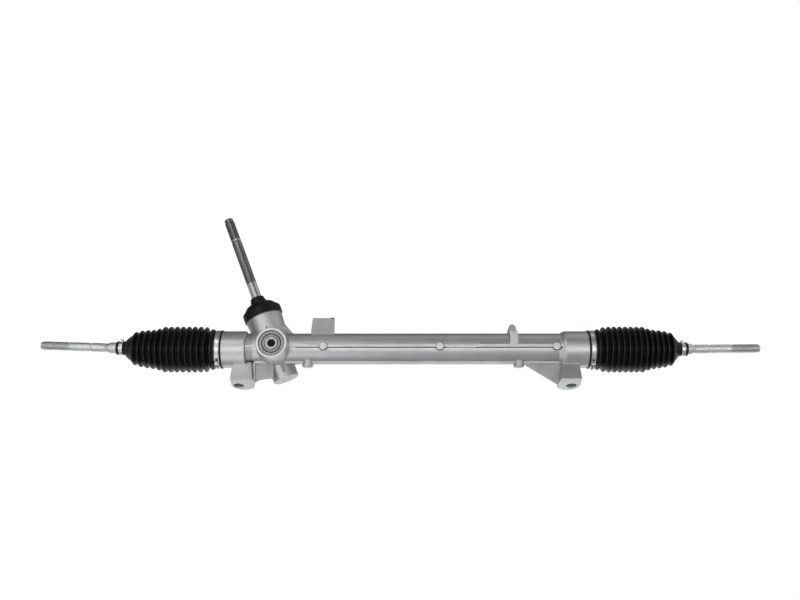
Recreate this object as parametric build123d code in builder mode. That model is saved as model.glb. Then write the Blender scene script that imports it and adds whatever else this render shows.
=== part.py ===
from build123d import *
import os
from math import atan, cos, degrees, pi, radians, sin, sqrt, tan

# Rack and pinion steering gear with two inner tie rods. All sizes are millimetres, all angles degrees.
# The origin lies on the mounting faces, midway between the two fixing holes. X runs along the rack,
# Z is the direction of the fixing bolts, and -Y is the side of the yoke plug.

# ---- Driving dimensions: how the gear sits on its two feet ----
bolt_spacing = 540.0
rack_height = 56.5
rack_forward = 17.5
gear_lean = 12.0

# ---- Driving dimensions: fits ----
running_clearance = 0.05
ball_clearance = 0.1
loose_clearance = 0.3
overcut = 1.0

# ---- Driving dimensions: rack and pinion teeth ----
rack_dia = 26.0
rack_rest = -8.0
rack_stroke = 66.0
tooth_module = 2.0
pinion_teeth = 7
pressure_angle = 25.0
pinion_helix = 28.0
rack_pitch_depth = 10.05
rack_addendum = 1.7
pinion_addendum = 2.1
root_clearance = 0.35
tooth_backlash = 0.12
pinion_face = 28.0
pinion_bore_gap = 2.0
tooth_root_overlap = 0.2
flank_steps = 6

# ---- Driving dimensions: pinion shaft, stations measured up the shaft from the rack ----
pinion_x = -212.8
pinion_tilt = 21.4
pinion_top = 250.5
shaft_dia = 16.8
spline_dia = 16.4
spline_length = 35.5
pilot_dia = 14.8
pilot_length = 6.0
relief_dia = 13.8
relief_length = 2.5
shaft_chamfer = 1.0
lower_journal_dia = 12.0
lower_journal_length = 26.0
lower_bearing_od = 18.0
lower_bearing_length = 12.0
lower_bore_gap = 2.0
bearing_station = 20.0
bearing_id = 17.0
bearing_od = 40.0
bearing_width = 12.0
circlip_width = 1.2
circlip_od = 22.0
circlip_groove_dia = 15.4
circlip_gap = 5.0
lock_nut_bore = 26.0
lock_nut_width = 6.0
lock_nut_slots = 6
lock_nut_slot = 4.0
seal_station = 50.5
seal_width = 7.0

# ---- Driving dimensions: dust cap on the pinion tower ----
cap_station = 62.5
cap_od = 65.0
cap_rim_height = 14.0
cap_shoulder_dia = 46.0
cap_height = 25.0
cap_wall = 2.4
cap_nub_dia = 25.0
cap_nub_tip_dia = 21.0
cap_nub_height = 12.0

# ---- Driving dimensions: rack housing ----
tube_od = 49.8
tube_rise = 1.5
tube_bore = 37.0
bell_od = 60.0
bell_inner = 259.5
left_bell_flare = 1.5
right_bell_flare = 10.0
bell_bore = 48.0
neck_dia = 55.0
neck_start = 296.8
housing_end = 310.0
bush_bore_dia = 32.0
bush_station = 224.0
bush_length = 22.0
tower_base_dia = 55.0
tower_top_dia = 61.0
tower_shoulder = 12.0
tower_lip = 9.0
cap_ledge = 1.0
lower_boss_dia = 42.0
lower_boss_end = -49.5
lower_boss_chamfer = 1.5
boss_base_dia = 54.0
boss_face_dia = 48.6
boss_waist = 30.0
boss_face = 48.5
tower_gusset_width = 18.0
tower_gusset_back = 7.0
tower_gusset_foot = 30.0
tower_gusset_top = 14.0
tower_gusset_rise = 41.0
yoke_fin_width = 4.0
yoke_fin_reach = 44.0
yoke_fin_angle = 24.0

# ---- Driving dimensions: mounting feet and webs ----
foot_width = 40.4
foot_front = 26.0
foot_offset = 4.2
foot_taper = 5.5
foot_height = 34.0
fixing_hole_dia = 16.0
fixing_hole_depth = 25.0
web_thickness = 7.0
plate_edge_drop = 49.8
plate_boss_drop = 47.3
gusset_start = 189.5
gusset_foot_height = 57.5

# ---- Driving dimensions: ribs, pads and lugs cast on the tube ----
rib_height = 3.6
rib_reach = 27.6
lower_rib_face = 9.0
lower_rib_reach = 24.8
lower_rib_height = 3.4
pad_dia = 13.2
pad_reach = 28.1
pad_pitch = 188.0
pad_centre = 55.8
stud_dia = 17.4
stud_reach = 30.6
stud_forward = 4.5
left_stud_x = -157.8
right_stud_x = 184.4
tab_x = -133.8
tab_width = 37.0
tab_top = 49.6
tab_thickness = 5.0
tab_forward = 12.0
tab_corner = 1.6
lug_x = 175.6
lug_width = 14.4
lug_top = 41.2
lug_thickness = 13.0
lug_rib_shift = 0.4
lug_rib_width = 13.4
lug_rib_top = 25.5

# ---- Driving dimensions: yoke and adjuster plug ----
yoke_dia = 36.0
yoke_inner = 4.0
yoke_outer = 30.0
liner_thickness = 0.9
liner_width = 26.0
liner_arc = 104.0
disc_dia = 31.0
disc_bore = 15.6
disc_thickness = 1.2
disc_dish = 0.7
plug_dia = 41.0
plug_inner = 34.0
plug_face = 47.0
plug_band = 4.6
plug_recess = 1.6
plug_hex = 11.0
plug_hex_depth = 8.0
plug_groove_width = 3.0
plug_groove_depth = 2.0
plug_groove_station = 37.0

# ---- Driving dimensions: inner tie rods, measured outwards from the ball centre ----
ball_reach = 385.0
ball_dia = 25.0
seat_wall = 1.8
seat_back = 9.0
seat_front = 7.0
socket_od = 39.0
socket_back = 42.0
socket_flats_length = 15.0
socket_flats = 32.0
socket_nose_dia = 31.0
socket_mouth = 14.0
socket_chamfer_start = 4.7
socket_mouth_dia = 26.4
socket_lip = 9.0
socket_stud_dia = 16.0
socket_stud_length = 24.0
washer_thickness = 2.0
washer_od = 38.0
rod_dia = 13.0
rod_neck_dia = 14.0
rod_neck_length = 22.0
rod_swell_dia = 17.8
rod_swell_start = 60.0
rod_swell_end = 88.0
rod_swell_taper = 8.0
rod_step_start = 119.5
rod_step_dia = 10.8
rod_step_length = 3.5
flats_across = 12.6
flats_dia = 13.4
thread_groove_dia = 11.6
thread_groove_length = 2.0
rod_end = 202.5
thread_dia = 14.0
thread_length = 45.0
thread_chamfer = 1.5
left_rod_rise = 2.1
right_rod_rise = 0.6

# ---- Driving dimensions: boots and clamps ----
boot_wall = 1.8
boot_cuff_wall = 2.6
boot_bead_dia = 63.0
boot_bead_width = 2.2
boot_pleats = 14
boot_wide_pleats = 9
boot_crest_dia = 75.0
boot_first_crest_dia = 68.6
boot_pleat_depth = 6.0
boot_taper_dia = 67.6
boot_nose_crest_dia = 52.4
boot_rest = -5.0
boot_crest_past_housing = 4.0
boot_nose_length = 15.3
boot_nose_past_ball = 67.0
boot_nose_base_dia = 40.0
boot_nose_ridge_dia = 25.0
boot_lip_length = 14.0
boot_lip_wall = 2.2
clamp_station = 303.2
clamp_width = 7.8
clamp_thickness = 1.1
clamp_ear_angle = 62.0
clamp_ear_width = 9.0
clamp_ear_height = 3.2
rod_clamp_past_nose = 6.6
rod_clamp_width = 6.0
rod_clamp_thickness = 1.0

# ---- Where the boots' pleats and noses lie, from the middle of the rack's travel ----
boot_first_crest = housing_end + boot_crest_past_housing
boot_nose_reach = ball_reach + boot_nose_past_ball
boot_lip_reach = boot_nose_reach + boot_lip_length
rod_clamp_reach = boot_nose_reach + rod_clamp_past_nose

# ---- Directions of the leaning gear ----
lean = radians(gear_lean)
tilt = radians(pinion_tilt)
along = Vector(1, 0, 0)
forward = Vector(0, -cos(lean), -sin(lean))
upward = Vector(0, -sin(lean), cos(lean))
rack_centre = Vector(0, -rack_forward, rack_height)
pinion_up = upward * cos(tilt) - along * sin(tilt)
pinion_side = along * cos(tilt) + upward * sin(tilt)

# ---- Gear geometry that follows from the teeth ----
helix = radians(pinion_helix)
rack_helix = helix - tilt
pinion_pitch_r = pinion_teeth * tooth_module / (2 * cos(helix))
centre_distance = rack_pitch_depth + pinion_pitch_r
pinion_root_r = pinion_pitch_r - rack_addendum - root_clearance
pinion_tip_r = pinion_pitch_r + pinion_addendum
rack_dedendum = pinion_addendum + root_clearance
transverse_angle = atan(tan(radians(pressure_angle)) / cos(helix))
base_r = pinion_pitch_r * cos(transverse_angle)

yoke_centre = rack_centre + along * pinion_x
pinion_centre = yoke_centre - forward * centre_distance
rack_axis = Axis(rack_centre, along)
pinion_axis = Axis(pinion_centre, pinion_up)
yoke_axis = Axis(yoke_centre, forward)

# Half-sections: the first local axis runs along the rack or away from the turning axis.
rack_section = Plane(origin=rack_centre, x_dir=along, z_dir=forward)
pinion_section = Plane(origin=pinion_centre, x_dir=pinion_side, z_dir=forward)
yoke_section = Plane(origin=yoke_centre, x_dir=along, z_dir=-upward)

os.makedirs("parts", exist_ok=True)


def across(x):
    """Plane square to the rack at x, with local X backwards and local Y upwards."""
    return Plane(origin=rack_centre + along * x, x_dir=-forward, z_dir=along)


def across_pinion(station):
    """Plane square to the pinion shaft, with local X sideways and local Y backwards."""
    return Plane(origin=pinion_centre + pinion_up * station, x_dir=pinion_side, z_dir=pinion_up)


def facing(reach):
    """Plane square to the yoke, with local X along the rack and local Y upwards."""
    return Plane(origin=yoke_centre + forward * reach, x_dir=along, z_dir=forward)


def side_section(side, origin_x):
    """Half-section of one end of the gear: local X runs outwards from origin_x, local Y is the radius."""
    return Plane(origin=rack_centre + along * origin_x, x_dir=along * side, z_dir=forward * side)


def ball_x(side):
    """Place of a tie rod's ball centre along X, with the rack where it rests."""
    return rack_rest + side * ball_reach


def rod_out(side):
    """Direction of one tie rod at rest: outwards and a little up."""
    rise = radians(left_rod_rise if side < 0 else right_rod_rise)
    return along * side * cos(rise) + Vector(0, 0, 1) * sin(rise)


def ball_centre(side):
    """Centre of one tie rod's ball at rest."""
    return rack_centre + along * ball_x(side)


def rod_section(side):
    """Half-section of one tie rod: local X runs out from the ball, local Y is the radius."""
    return Plane(origin=ball_centre(side), x_dir=rod_out(side), z_dir=Vector(0, -side, 0))


def across_rod(side, reach):
    """Plane square to one tie rod, with local X backwards."""
    origin = ball_centre(side) + rod_out(side) * reach
    return Plane(origin=origin, x_dir=Vector(0, 1, 0), z_dir=rod_out(side))


def save(builder, node):
    """Labels one finished piece and writes it under its node's name."""
    builder.part.label = node
    export_step(builder.part, f"parts/{node}.step")


# ---- Rack housing: one aluminium casting ----
bell_r = bell_od / 2
tube_r = tube_od / 2
tower_top = seal_station + seal_width + tower_lip
stop_wall = ball_reach - socket_back - washer_thickness - rack_stroke - loose_clearance
seat_r = bearing_od / 2
pinion_bore_r = pinion_tip_r + pinion_bore_gap
lower_bore_end = -pinion_face / 2 - lower_journal_length - lower_bore_gap
foot_x = bolt_spacing / 2
foot_r = foot_width / 2
lower_seat_top = -pinion_face / 2 - lower_journal_length + lower_bearing_length + overcut

with BuildPart() as rack_housing:
    # Tube between the two bells.
    with BuildSketch(across(-bell_inner)):
        with Locations((0, tube_rise)):
            Circle(tube_r)
    extrude(amount=2 * bell_inner)
    # Bells, with a flare from the tube and a neck for the boot.
    for side, flare in ((-1, left_bell_flare), (1, right_bell_flare)):
        with BuildSketch(side_section(side, 0)):
            with BuildLine():
                Polyline(
                    (bell_inner - flare, 0),
                    (bell_inner - flare, tube_r),
                    (bell_inner, bell_r),
                    (neck_start, bell_r),
                    (neck_start, neck_dia / 2),
                    (housing_end, neck_dia / 2),
                    (housing_end, 0),
                    close=True,
                )
            make_face()
        revolve(axis=rack_axis)
    # Pinion tower above the rack and closed boss below it.
    with BuildSketch(pinion_section):
        with BuildLine():
            Polyline(
                (0, lower_boss_end),
                (lower_boss_dia / 2 - lower_boss_chamfer, lower_boss_end),
                (lower_boss_dia / 2, lower_boss_end + lower_boss_chamfer),
                (lower_boss_dia / 2, 0),
                (tower_base_dia / 2, tower_shoulder),
                (tower_top_dia / 2, cap_station - cap_ledge),
                (cap_od / 2 - cap_wall, cap_station - cap_ledge),
                (cap_od / 2 - cap_wall, tower_top),
                (0, tower_top),
                close=True,
            )
        make_face()
    revolve(axis=pinion_axis)
    # Yoke boss towards the front of the rack.
    with BuildSketch(yoke_section):
        with BuildLine():
            Polyline(
                (0, 0),
                (boss_base_dia / 2, 0),
                (boss_base_dia / 2, boss_waist),
                (boss_face_dia / 2, boss_face),
                (0, boss_face),
                close=True,
            )
        make_face()
    revolve(axis=yoke_axis)
    # Fairing from the tower down to the tube.
    with BuildSketch(facing(-tower_gusset_back)):
        with BuildLine():
            Polyline(
                (0, 0),
                (tower_gusset_foot, tube_rise),
                (tower_gusset_foot, tube_r),
                (tower_gusset_top, tower_gusset_rise),
                (0, tower_gusset_rise),
                close=True,
            )
        make_face()
    extrude(amount=tower_gusset_width / 2, both=True)
    # Fin from the yoke boss to the lower boss.
    with BuildSketch(yoke_section.rotated((0, yoke_fin_angle - 90, 0))):
        with BuildLine():
            Polyline(
                (0, 0),
                (yoke_fin_reach, 0),
                (boss_face_dia / 2, boss_waist),
                (0, boss_waist),
                close=True,
            )
        make_face()
    extrude(amount=yoke_fin_width / 2, both=True)
    # Feet: columns with a flat front and a round back, drafted towards the top.
    for side in (-1, 1):
        with BuildSketch(Plane.XY):
            with Locations((side * (foot_x - foot_offset), 0)):
                Circle(foot_r)
                Rectangle(foot_width, foot_front, align=(Align.CENTER, Align.MAX))
        extrude(amount=foot_height, taper=foot_taper)
    # Webs in the parting plane: a long gusset on the right, a short plate to the pinion boss on the left.
    with BuildSketch(rack_section):
        with BuildLine():
            Polyline(
                (gusset_start, 0),
                (gusset_start, -tube_r + 2 * tube_rise),
                (foot_x - foot_offset - foot_r, -gusset_foot_height),
                (foot_x - foot_offset, -gusset_foot_height),
                (foot_x - foot_offset, 0),
                close=True,
            )
        make_face()
        with BuildLine():
            Polyline(
                (-foot_x + foot_offset, 0),
                (-foot_x + foot_offset, -gusset_foot_height),
                (-foot_x + foot_offset + foot_r, -gusset_foot_height),
                (pinion_x - lower_boss_dia / 2, -plate_edge_drop),
                (pinion_x, -plate_boss_drop),
                (pinion_x, 0),
                close=True,
            )
        make_face()
    extrude(amount=web_thickness / 2, both=True)
    # Ribs along the front and the underside of the tube.
    with BuildSketch(rack_section):
        Rectangle(2 * bell_inner, rib_height)
    extrude(amount=rib_reach)
    with BuildSketch(rack_section):
        with Locations((0, -lower_rib_reach)):
            Rectangle(2 * bell_inner, lower_rib_height, align=(Align.CENTER, Align.MIN))
    extrude(amount=lower_rib_face)
    # Round pads on the front rib and round studs under the tube.
    with BuildSketch(rack_section):
        with Locations((pad_centre, 0)):
            with GridLocations(pad_pitch, 1, 3, 1):
                Circle(pad_dia / 2)
    extrude(amount=pad_reach)
    with BuildSketch(Plane(origin=rack_centre + forward * stud_forward, x_dir=along, z_dir=-upward)):
        with Locations((left_stud_x, 0), (right_stud_x, 0)):
            Circle(stud_dia / 2)
    extrude(amount=stud_reach)
    # Flat tab and round-topped lug above the tube.
    with BuildSketch(rack_section.offset(tab_forward)):
        with Locations((tab_x, 0)):
            RectangleRounded(tab_width, 2 * tab_top, tab_corner)
        with Locations((tab_x, 0)):
            Rectangle(tab_width, 2 * tab_top, align=(Align.CENTER, Align.MAX), mode=Mode.SUBTRACT)
    extrude(amount=tab_thickness / 2, both=True)
    with BuildSketch(rack_section):
        with Locations((lug_x, lug_top - lug_width / 2)):
            Circle(lug_width / 2)
            Rectangle(lug_width, lug_top, align=(Align.CENTER, Align.MAX))
    extrude(amount=lug_thickness / 2, both=True)
    with BuildSketch(rack_section):
        with Locations((lug_x + lug_rib_shift, 0)):
            Rectangle(lug_rib_width, lug_rib_top, align=(Align.CENTER, Align.MIN))
    extrude(amount=tube_r)
    # Bores: the rack's tunnel, the bush seat, the bells' cavities.
    with BuildSketch(across(-housing_end)):
        Circle(tube_bore / 2)
    extrude(amount=housing_end + bush_station, mode=Mode.SUBTRACT)
    with BuildSketch(across(bush_station - overcut)):
        Circle(bush_bore_dia / 2)
    extrude(amount=housing_end - bush_station + 2 * overcut, mode=Mode.SUBTRACT)
    for side in (-1, 1):
        with BuildSketch(side_section(side, 0)):
            with Locations((stop_wall, 0)):
                Rectangle(housing_end - stop_wall + overcut, bell_bore / 2, align=(Align.MIN, Align.MIN))
        revolve(axis=rack_axis, mode=Mode.SUBTRACT)
    # Bores of the pinion, its bearings and its seal.
    with BuildSketch(pinion_section):
        with BuildLine():
            Polyline(
                (0, lower_bore_end),
                (lower_bearing_od / 2, lower_bore_end),
                (lower_bearing_od / 2, lower_seat_top),
                (pinion_bore_r, lower_seat_top),
                (pinion_bore_r, bearing_station),
                (seat_r, bearing_station),
                (seat_r, tower_top + overcut),
                (0, tower_top + overcut),
                close=True,
            )
        make_face()
    revolve(axis=pinion_axis, mode=Mode.SUBTRACT)
    # Bore of the yoke and its plug.
    with BuildSketch(facing(0)):
        Circle(yoke_dia / 2 + running_clearance)
    extrude(amount=boss_face, mode=Mode.SUBTRACT)
    with BuildSketch(facing(plug_inner - overcut)):
        Circle(plug_dia / 2)
    extrude(amount=boss_face, mode=Mode.SUBTRACT)
    # Blind fixing holes, one in each foot.
    with BuildSketch(Plane.XY):
        with Locations((-foot_x, 0), (foot_x, 0)):
            Circle(fixing_hole_dia / 2)
    extrude(amount=fixing_hole_depth, mode=Mode.SUBTRACT)
save(rack_housing, "rack_housing")


# ---- Rack bush ----
rack_r = rack_dia / 2
with BuildPart() as rack_bush:
    with BuildSketch(across(bush_station)):
        Circle(bush_bore_dia / 2)
        Circle(rack_r + running_clearance, mode=Mode.SUBTRACT)
    extrude(amount=bush_length)
save(rack_bush, "rack_bush")

# ---- Rack bar with slanting teeth on its back ----
rack_half = ball_reach - socket_back - washer_thickness
tooth_pitch = pi * tooth_module
tooth_flank = tan(radians(pressure_angle))
tooth_trace = upward * cos(rack_helix) + along * sin(rack_helix)
tooth_normal = along * cos(rack_helix) - upward * sin(rack_helix)
tooth_plane = Plane(origin=yoke_centre, x_dir=tooth_normal, z_dir=tooth_trace)
gaps_each_way = int(rack_stroke / tooth_pitch) + 2
first_gap = round(rack_rest / tooth_pitch) - gaps_each_way
gap_count = 2 * gaps_each_way + 1
tooth_zone = (gap_count - 1) * tooth_pitch / cos(rack_helix)
tooth_zone_x = (first_gap + gaps_each_way) * tooth_pitch / cos(rack_helix)
gap_root_half = tooth_pitch / 4 + tooth_backlash / 4 - rack_dedendum * tooth_flank
gap_mouth_half = gap_root_half + (rack_r - rack_pitch_depth + rack_dedendum) * tooth_flank

with BuildPart() as rack_bar:
    with BuildSketch(across(rack_rest - rack_half)):
        Circle(rack_r)
    extrude(amount=2 * rack_half)
    # Flat on which the teeth stand.
    with BuildSketch(yoke_section):
        with Locations((tooth_zone_x, -rack_pitch_depth - rack_addendum)):
            Rectangle(tooth_zone, rack_r, align=(Align.CENTER, Align.MAX))
    extrude(amount=rack_r, both=True, mode=Mode.SUBTRACT)
    # Gaps between the teeth, cut along the slanting tooth trace.
    with BuildSketch(tooth_plane):
        for gap in range(first_gap, first_gap + gap_count):
            middle = gap * tooth_pitch
            with BuildLine():
                Polyline(
                    (middle - gap_root_half, rack_pitch_depth - rack_dedendum),
                    (middle + gap_root_half, rack_pitch_depth - rack_dedendum),
                    (middle + gap_mouth_half, rack_r),
                    (middle - gap_mouth_half, rack_r),
                    close=True,
                )
            make_face()
    extrude(amount=rack_dia, both=True, mode=Mode.SUBTRACT)
    # Tapped ends for the sockets' studs.
    for side in (-1, 1):
        with BuildSketch(across(rack_rest + side * rack_half)):
            Circle(socket_stud_dia / 2)
        extrude(amount=-side * (socket_stud_length + overcut), mode=Mode.SUBTRACT)
save(rack_bar, "rack_bar")

# ---- Yoke, its liner, spring and plug ----
yoke_r = yoke_dia / 2
saddle_r = rack_r + running_clearance + liner_thickness
with BuildPart() as yoke:
    with BuildSketch(facing(yoke_inner)):
        Circle(yoke_r)
    extrude(amount=yoke_outer - yoke_inner)
    with BuildSketch(across(pinion_x - yoke_dia)):
        Circle(saddle_r)
    extrude(amount=2 * yoke_dia, mode=Mode.SUBTRACT)
save(yoke, "yoke")

with BuildPart() as yoke_liner:
    with BuildSketch(across(pinion_x - liner_width / 2)):
        Circle(saddle_r)
        Circle(rack_r + running_clearance, mode=Mode.SUBTRACT)
        half_arc = radians(liner_arc / 2)
        with BuildLine():
            Polyline(
                (0, 0),
                (-rack_dia * cos(half_arc), rack_dia * sin(half_arc)),
                (-2 * rack_dia, 0),
                (-rack_dia * cos(half_arc), -rack_dia * sin(half_arc)),
                close=True,
            )
        make_face(mode=Mode.INTERSECT)
    extrude(amount=liner_width)
save(yoke_liner, "yoke_liner")

with BuildPart() as yoke_disc_springs:
    for station, flip in ((yoke_outer, 1), (plug_inner, -1)):
        with BuildSketch(yoke_section):
            with BuildLine():
                Polyline(
                    (disc_bore / 2, station + flip * disc_dish),
                    (disc_dia / 2, station),
                    (disc_dia / 2, station + flip * disc_thickness),
                    (disc_bore / 2, station + flip * (disc_dish + disc_thickness)),
                    close=True,
                )
            make_face()
        revolve(axis=yoke_axis)
save(yoke_disc_springs, "yoke_disc_springs")

plug_r = plug_dia / 2
with BuildPart() as yoke_plug:
    with BuildSketch(facing(plug_inner)):
        Circle(plug_r)
    extrude(amount=plug_face - plug_inner)
    with BuildSketch(facing(plug_face - plug_recess)):
        Circle(plug_r - plug_band)
    extrude(amount=plug_recess, mode=Mode.SUBTRACT)
    with BuildSketch(facing(plug_face - plug_recess - plug_hex_depth)):
        RegularPolygon(plug_hex / 2, 6, major_radius=False)
    extrude(amount=plug_hex_depth, mode=Mode.SUBTRACT)
    with BuildSketch(facing(plug_groove_station)):
        Circle(plug_r + overcut)
        Circle(plug_r - plug_groove_depth, mode=Mode.SUBTRACT)
    extrude(amount=plug_groove_width, mode=Mode.SUBTRACT)
save(yoke_plug, "yoke_plug")

with BuildPart() as yoke_o_ring:
    with BuildSketch(facing(plug_groove_station)):
        Circle(plug_r)
        Circle(plug_r - plug_groove_depth, mode=Mode.SUBTRACT)
    extrude(amount=plug_groove_width)
save(yoke_o_ring, "yoke_o_ring")

# ---- Pinion shaft with helical teeth ----
shaft_r = shaft_dia / 2
journal_r = lower_journal_dia / 2
half_face = pinion_face / 2
spline_start = pinion_top - pilot_length - spline_length
circlip_station = bearing_station + bearing_width + running_clearance


def involute(roll):
    """Point of the tooth flank in the transverse plane, for a tooth centred on -Y."""
    radius = base_r * sqrt(1 + roll**2)
    half_tooth = (pi / 2 - tooth_backlash / 2 / tooth_module) / pinion_teeth
    drift = half_tooth + tan(transverse_angle) - transverse_angle - roll + atan(roll)
    return (radius * sin(drift), -radius * cos(drift))


tip_roll = sqrt((pinion_tip_r / base_r) ** 2 - 1)
flank = [involute(tip_roll * step / flank_steps) for step in range(flank_steps + 1)]
flank_foot = Vector(*flank[0]).normalized() * (pinion_root_r - tooth_root_overlap)
mirrored = [(-x, y) for x, y in flank]
with BuildSketch() as tooth_form:
    with BuildLine():
        Spline(*flank)
        ThreePointArc(flank[-1], (0, -pinion_tip_r), mirrored[-1])
        Spline(*mirrored)
        Line(mirrored[0], (-flank_foot.X, flank_foot.Y))
        Line((-flank_foot.X, flank_foot.Y), (flank_foot.X, flank_foot.Y))
        Line((flank_foot.X, flank_foot.Y), flank[0])
    make_face()
half_twist = degrees(half_face * tan(helix) / pinion_pitch_r)
with BuildSketch(across_pinion(-half_face)) as tooth_ring:
    Circle(pinion_root_r)
    with PolarLocations(0, pinion_teeth, start_angle=-half_twist):
        add(tooth_form.sketch)

with BuildPart() as pinion_shaft:
    add(
        Solid.extrude_linear_with_rotation(
            tooth_ring.sketch.face(),
            pinion_centre - pinion_up * half_face,
            pinion_up * pinion_face,
            2 * half_twist,
        )
    )
    with BuildSketch(pinion_section):
        with BuildLine():
            Polyline(
                (0, half_face),
                (pinion_tip_r, half_face),
                (pinion_tip_r, bearing_station),
                (bearing_id / 2, bearing_station),
                (bearing_id / 2, circlip_station),
                (circlip_groove_dia / 2, circlip_station),
                (circlip_groove_dia / 2, circlip_station + circlip_width + running_clearance),
                (shaft_r, circlip_station + circlip_width + running_clearance),
                (shaft_r, spline_start - relief_length),
                (relief_dia / 2, spline_start - relief_length),
                (relief_dia / 2, spline_start),
                (spline_dia / 2, spline_start),
                (spline_dia / 2, spline_start + spline_length),
                (pilot_dia / 2, spline_start + spline_length),
                (pilot_dia / 2, pinion_top - shaft_chamfer),
                (pilot_dia / 2 - shaft_chamfer, pinion_top),
                (0, pinion_top),
                close=True,
            )
        make_face()
        with BuildLine():
            Polyline(
                (0, -half_face),
                (journal_r, -half_face),
                (journal_r, -half_face - lower_journal_length + shaft_chamfer),
                (journal_r - shaft_chamfer, -half_face - lower_journal_length),
                (0, -half_face - lower_journal_length),
                close=True,
            )
        make_face()
    revolve(axis=pinion_axis)
save(pinion_shaft, "pinion_shaft")

# ---- Bearings, ring nut, circlip and seal on the pinion ----
race_gap_r = (bearing_id + bearing_od) / 4
with BuildPart() as bearing_inner_ring:
    with BuildSketch(across_pinion(bearing_station)):
        Circle(race_gap_r - loose_clearance / 2)
        Circle(bearing_id / 2, mode=Mode.SUBTRACT)
    extrude(amount=bearing_width)
save(bearing_inner_ring, "bearing_inner_ring")

with BuildPart() as bearing_outer_ring:
    with BuildSketch(across_pinion(bearing_station)):
        Circle(seat_r)
        Circle(race_gap_r + loose_clearance / 2, mode=Mode.SUBTRACT)
    extrude(amount=bearing_width)
save(bearing_outer_ring, "bearing_outer_ring")

with BuildPart() as bearing_circlip:
    with BuildSketch(across_pinion(circlip_station)):
        Circle(circlip_od / 2)
        Circle(circlip_groove_dia / 2, mode=Mode.SUBTRACT)
        with Locations((-circlip_od / 2, 0)):
            Rectangle(circlip_od, circlip_gap, mode=Mode.SUBTRACT)
    extrude(amount=circlip_width)
save(bearing_circlip, "bearing_circlip")

with BuildPart() as bearing_lock_nut:
    with BuildSketch(across_pinion(bearing_station + bearing_width)):
        Circle(seat_r)
        Circle(lock_nut_bore / 2, mode=Mode.SUBTRACT)
        with PolarLocations(lock_nut_bore / 2, lock_nut_slots):
            Rectangle(lock_nut_slot, lock_nut_slot, mode=Mode.SUBTRACT)
    extrude(amount=lock_nut_width)
save(bearing_lock_nut, "bearing_lock_nut")

with BuildPart() as pinion_seal:
    with BuildSketch(across_pinion(seal_station)):
        Circle(seat_r)
        Circle(shaft_r + running_clearance, mode=Mode.SUBTRACT)
    extrude(amount=seal_width)
save(pinion_seal, "pinion_seal")

lower_bearing_station = -half_face - lower_journal_length - running_clearance
with BuildPart() as lower_bearing:
    with BuildSketch(across_pinion(lower_bearing_station)):
        Circle(lower_bearing_od / 2)
        Circle(journal_r + running_clearance, mode=Mode.SUBTRACT)
    extrude(amount=lower_bearing_length)
save(lower_bearing, "lower_bearing")

# ---- Dust cap over the tower ----
cap_r = cap_od / 2
with BuildPart() as dust_cap:
    with BuildSketch(pinion_section):
        with BuildLine():
            Polyline(
                (cap_r - cap_wall, cap_station),
                (cap_r, cap_station),
                (cap_r, cap_station + cap_rim_height),
                (cap_shoulder_dia / 2, cap_station + cap_height - cap_wall / 2),
                (cap_nub_dia / 2, cap_station + cap_height),
                (cap_nub_dia / 2, cap_station + cap_height + cap_nub_height / 2),
                (cap_nub_tip_dia / 2, cap_station + cap_height + cap_nub_height),
                (shaft_r + running_clearance, cap_station + cap_height + cap_nub_height),
                (shaft_r + running_clearance, cap_station + cap_height - cap_wall),
                (cap_shoulder_dia / 2, cap_station + cap_height - 1.5 * cap_wall),
                (cap_r - cap_wall, cap_station + cap_rim_height - cap_wall / 2),
                close=True,
            )
        make_face()
    revolve(axis=pinion_axis)
save(dust_cap, "dust_cap")


# ---- Inner tie rods: socket, washer, ball seat and rod on each side ----
ball_r = ball_dia / 2
seat_inner_r = ball_r + ball_clearance
seat_outer_r = seat_inner_r + seat_wall
socket_cavity_r = seat_outer_r + ball_clearance


def make_washer(side):
    """Stop washer between the rack's end and the socket."""
    with BuildPart() as washer:
        with BuildSketch(across(rack_rest + side * rack_half)):
            Circle(washer_od / 2)
            Circle(socket_stud_dia / 2, mode=Mode.SUBTRACT)
        extrude(amount=side * washer_thickness)
    return washer


def make_socket(side):
    """Socket with its stud, wrench flats, ball cavity and open mouth."""
    cavity_edge_r = sqrt(socket_cavity_r**2 - socket_lip**2)
    with BuildPart() as socket:
        with BuildSketch(side_section(side, ball_x(side))):
            with BuildLine():
                Polyline(
                    (-socket_back - washer_thickness - socket_stud_length, 0),
                    (-socket_back - washer_thickness - socket_stud_length, socket_stud_dia / 2),
                    (-socket_back, socket_stud_dia / 2),
                    (-socket_back, socket_od / 2),
                    (socket_chamfer_start, socket_od / 2),
                    (socket_mouth, socket_nose_dia / 2),
                    (socket_mouth, socket_mouth_dia / 2),
                    (socket_lip, cavity_edge_r),
                    (0, 0),
                    close=True,
                )
            make_face()
        revolve(axis=rack_axis)
        with BuildSketch(side_section(side, ball_x(side))):
            Circle(socket_cavity_r)
            with Locations((0, 0)):
                Rectangle(2 * socket_od, socket_od, align=(Align.CENTER, Align.MAX), mode=Mode.SUBTRACT)
            with Locations((socket_lip, 0)):
                Rectangle(socket_od, socket_od, align=(Align.MIN, Align.MIN), mode=Mode.SUBTRACT)
        revolve(axis=rack_axis, mode=Mode.SUBTRACT)
        # Two flats for the wrench.
        with BuildSketch(across(ball_x(side) - side * socket_back)):
            for turn in (-1, 1):
                with Locations((0, turn * socket_flats / 2)):
                    Rectangle(socket_od, socket_od, align=(Align.CENTER, Align.MIN if turn > 0 else Align.MAX))
        extrude(amount=side * socket_flats_length, mode=Mode.SUBTRACT)
    return socket


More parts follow.
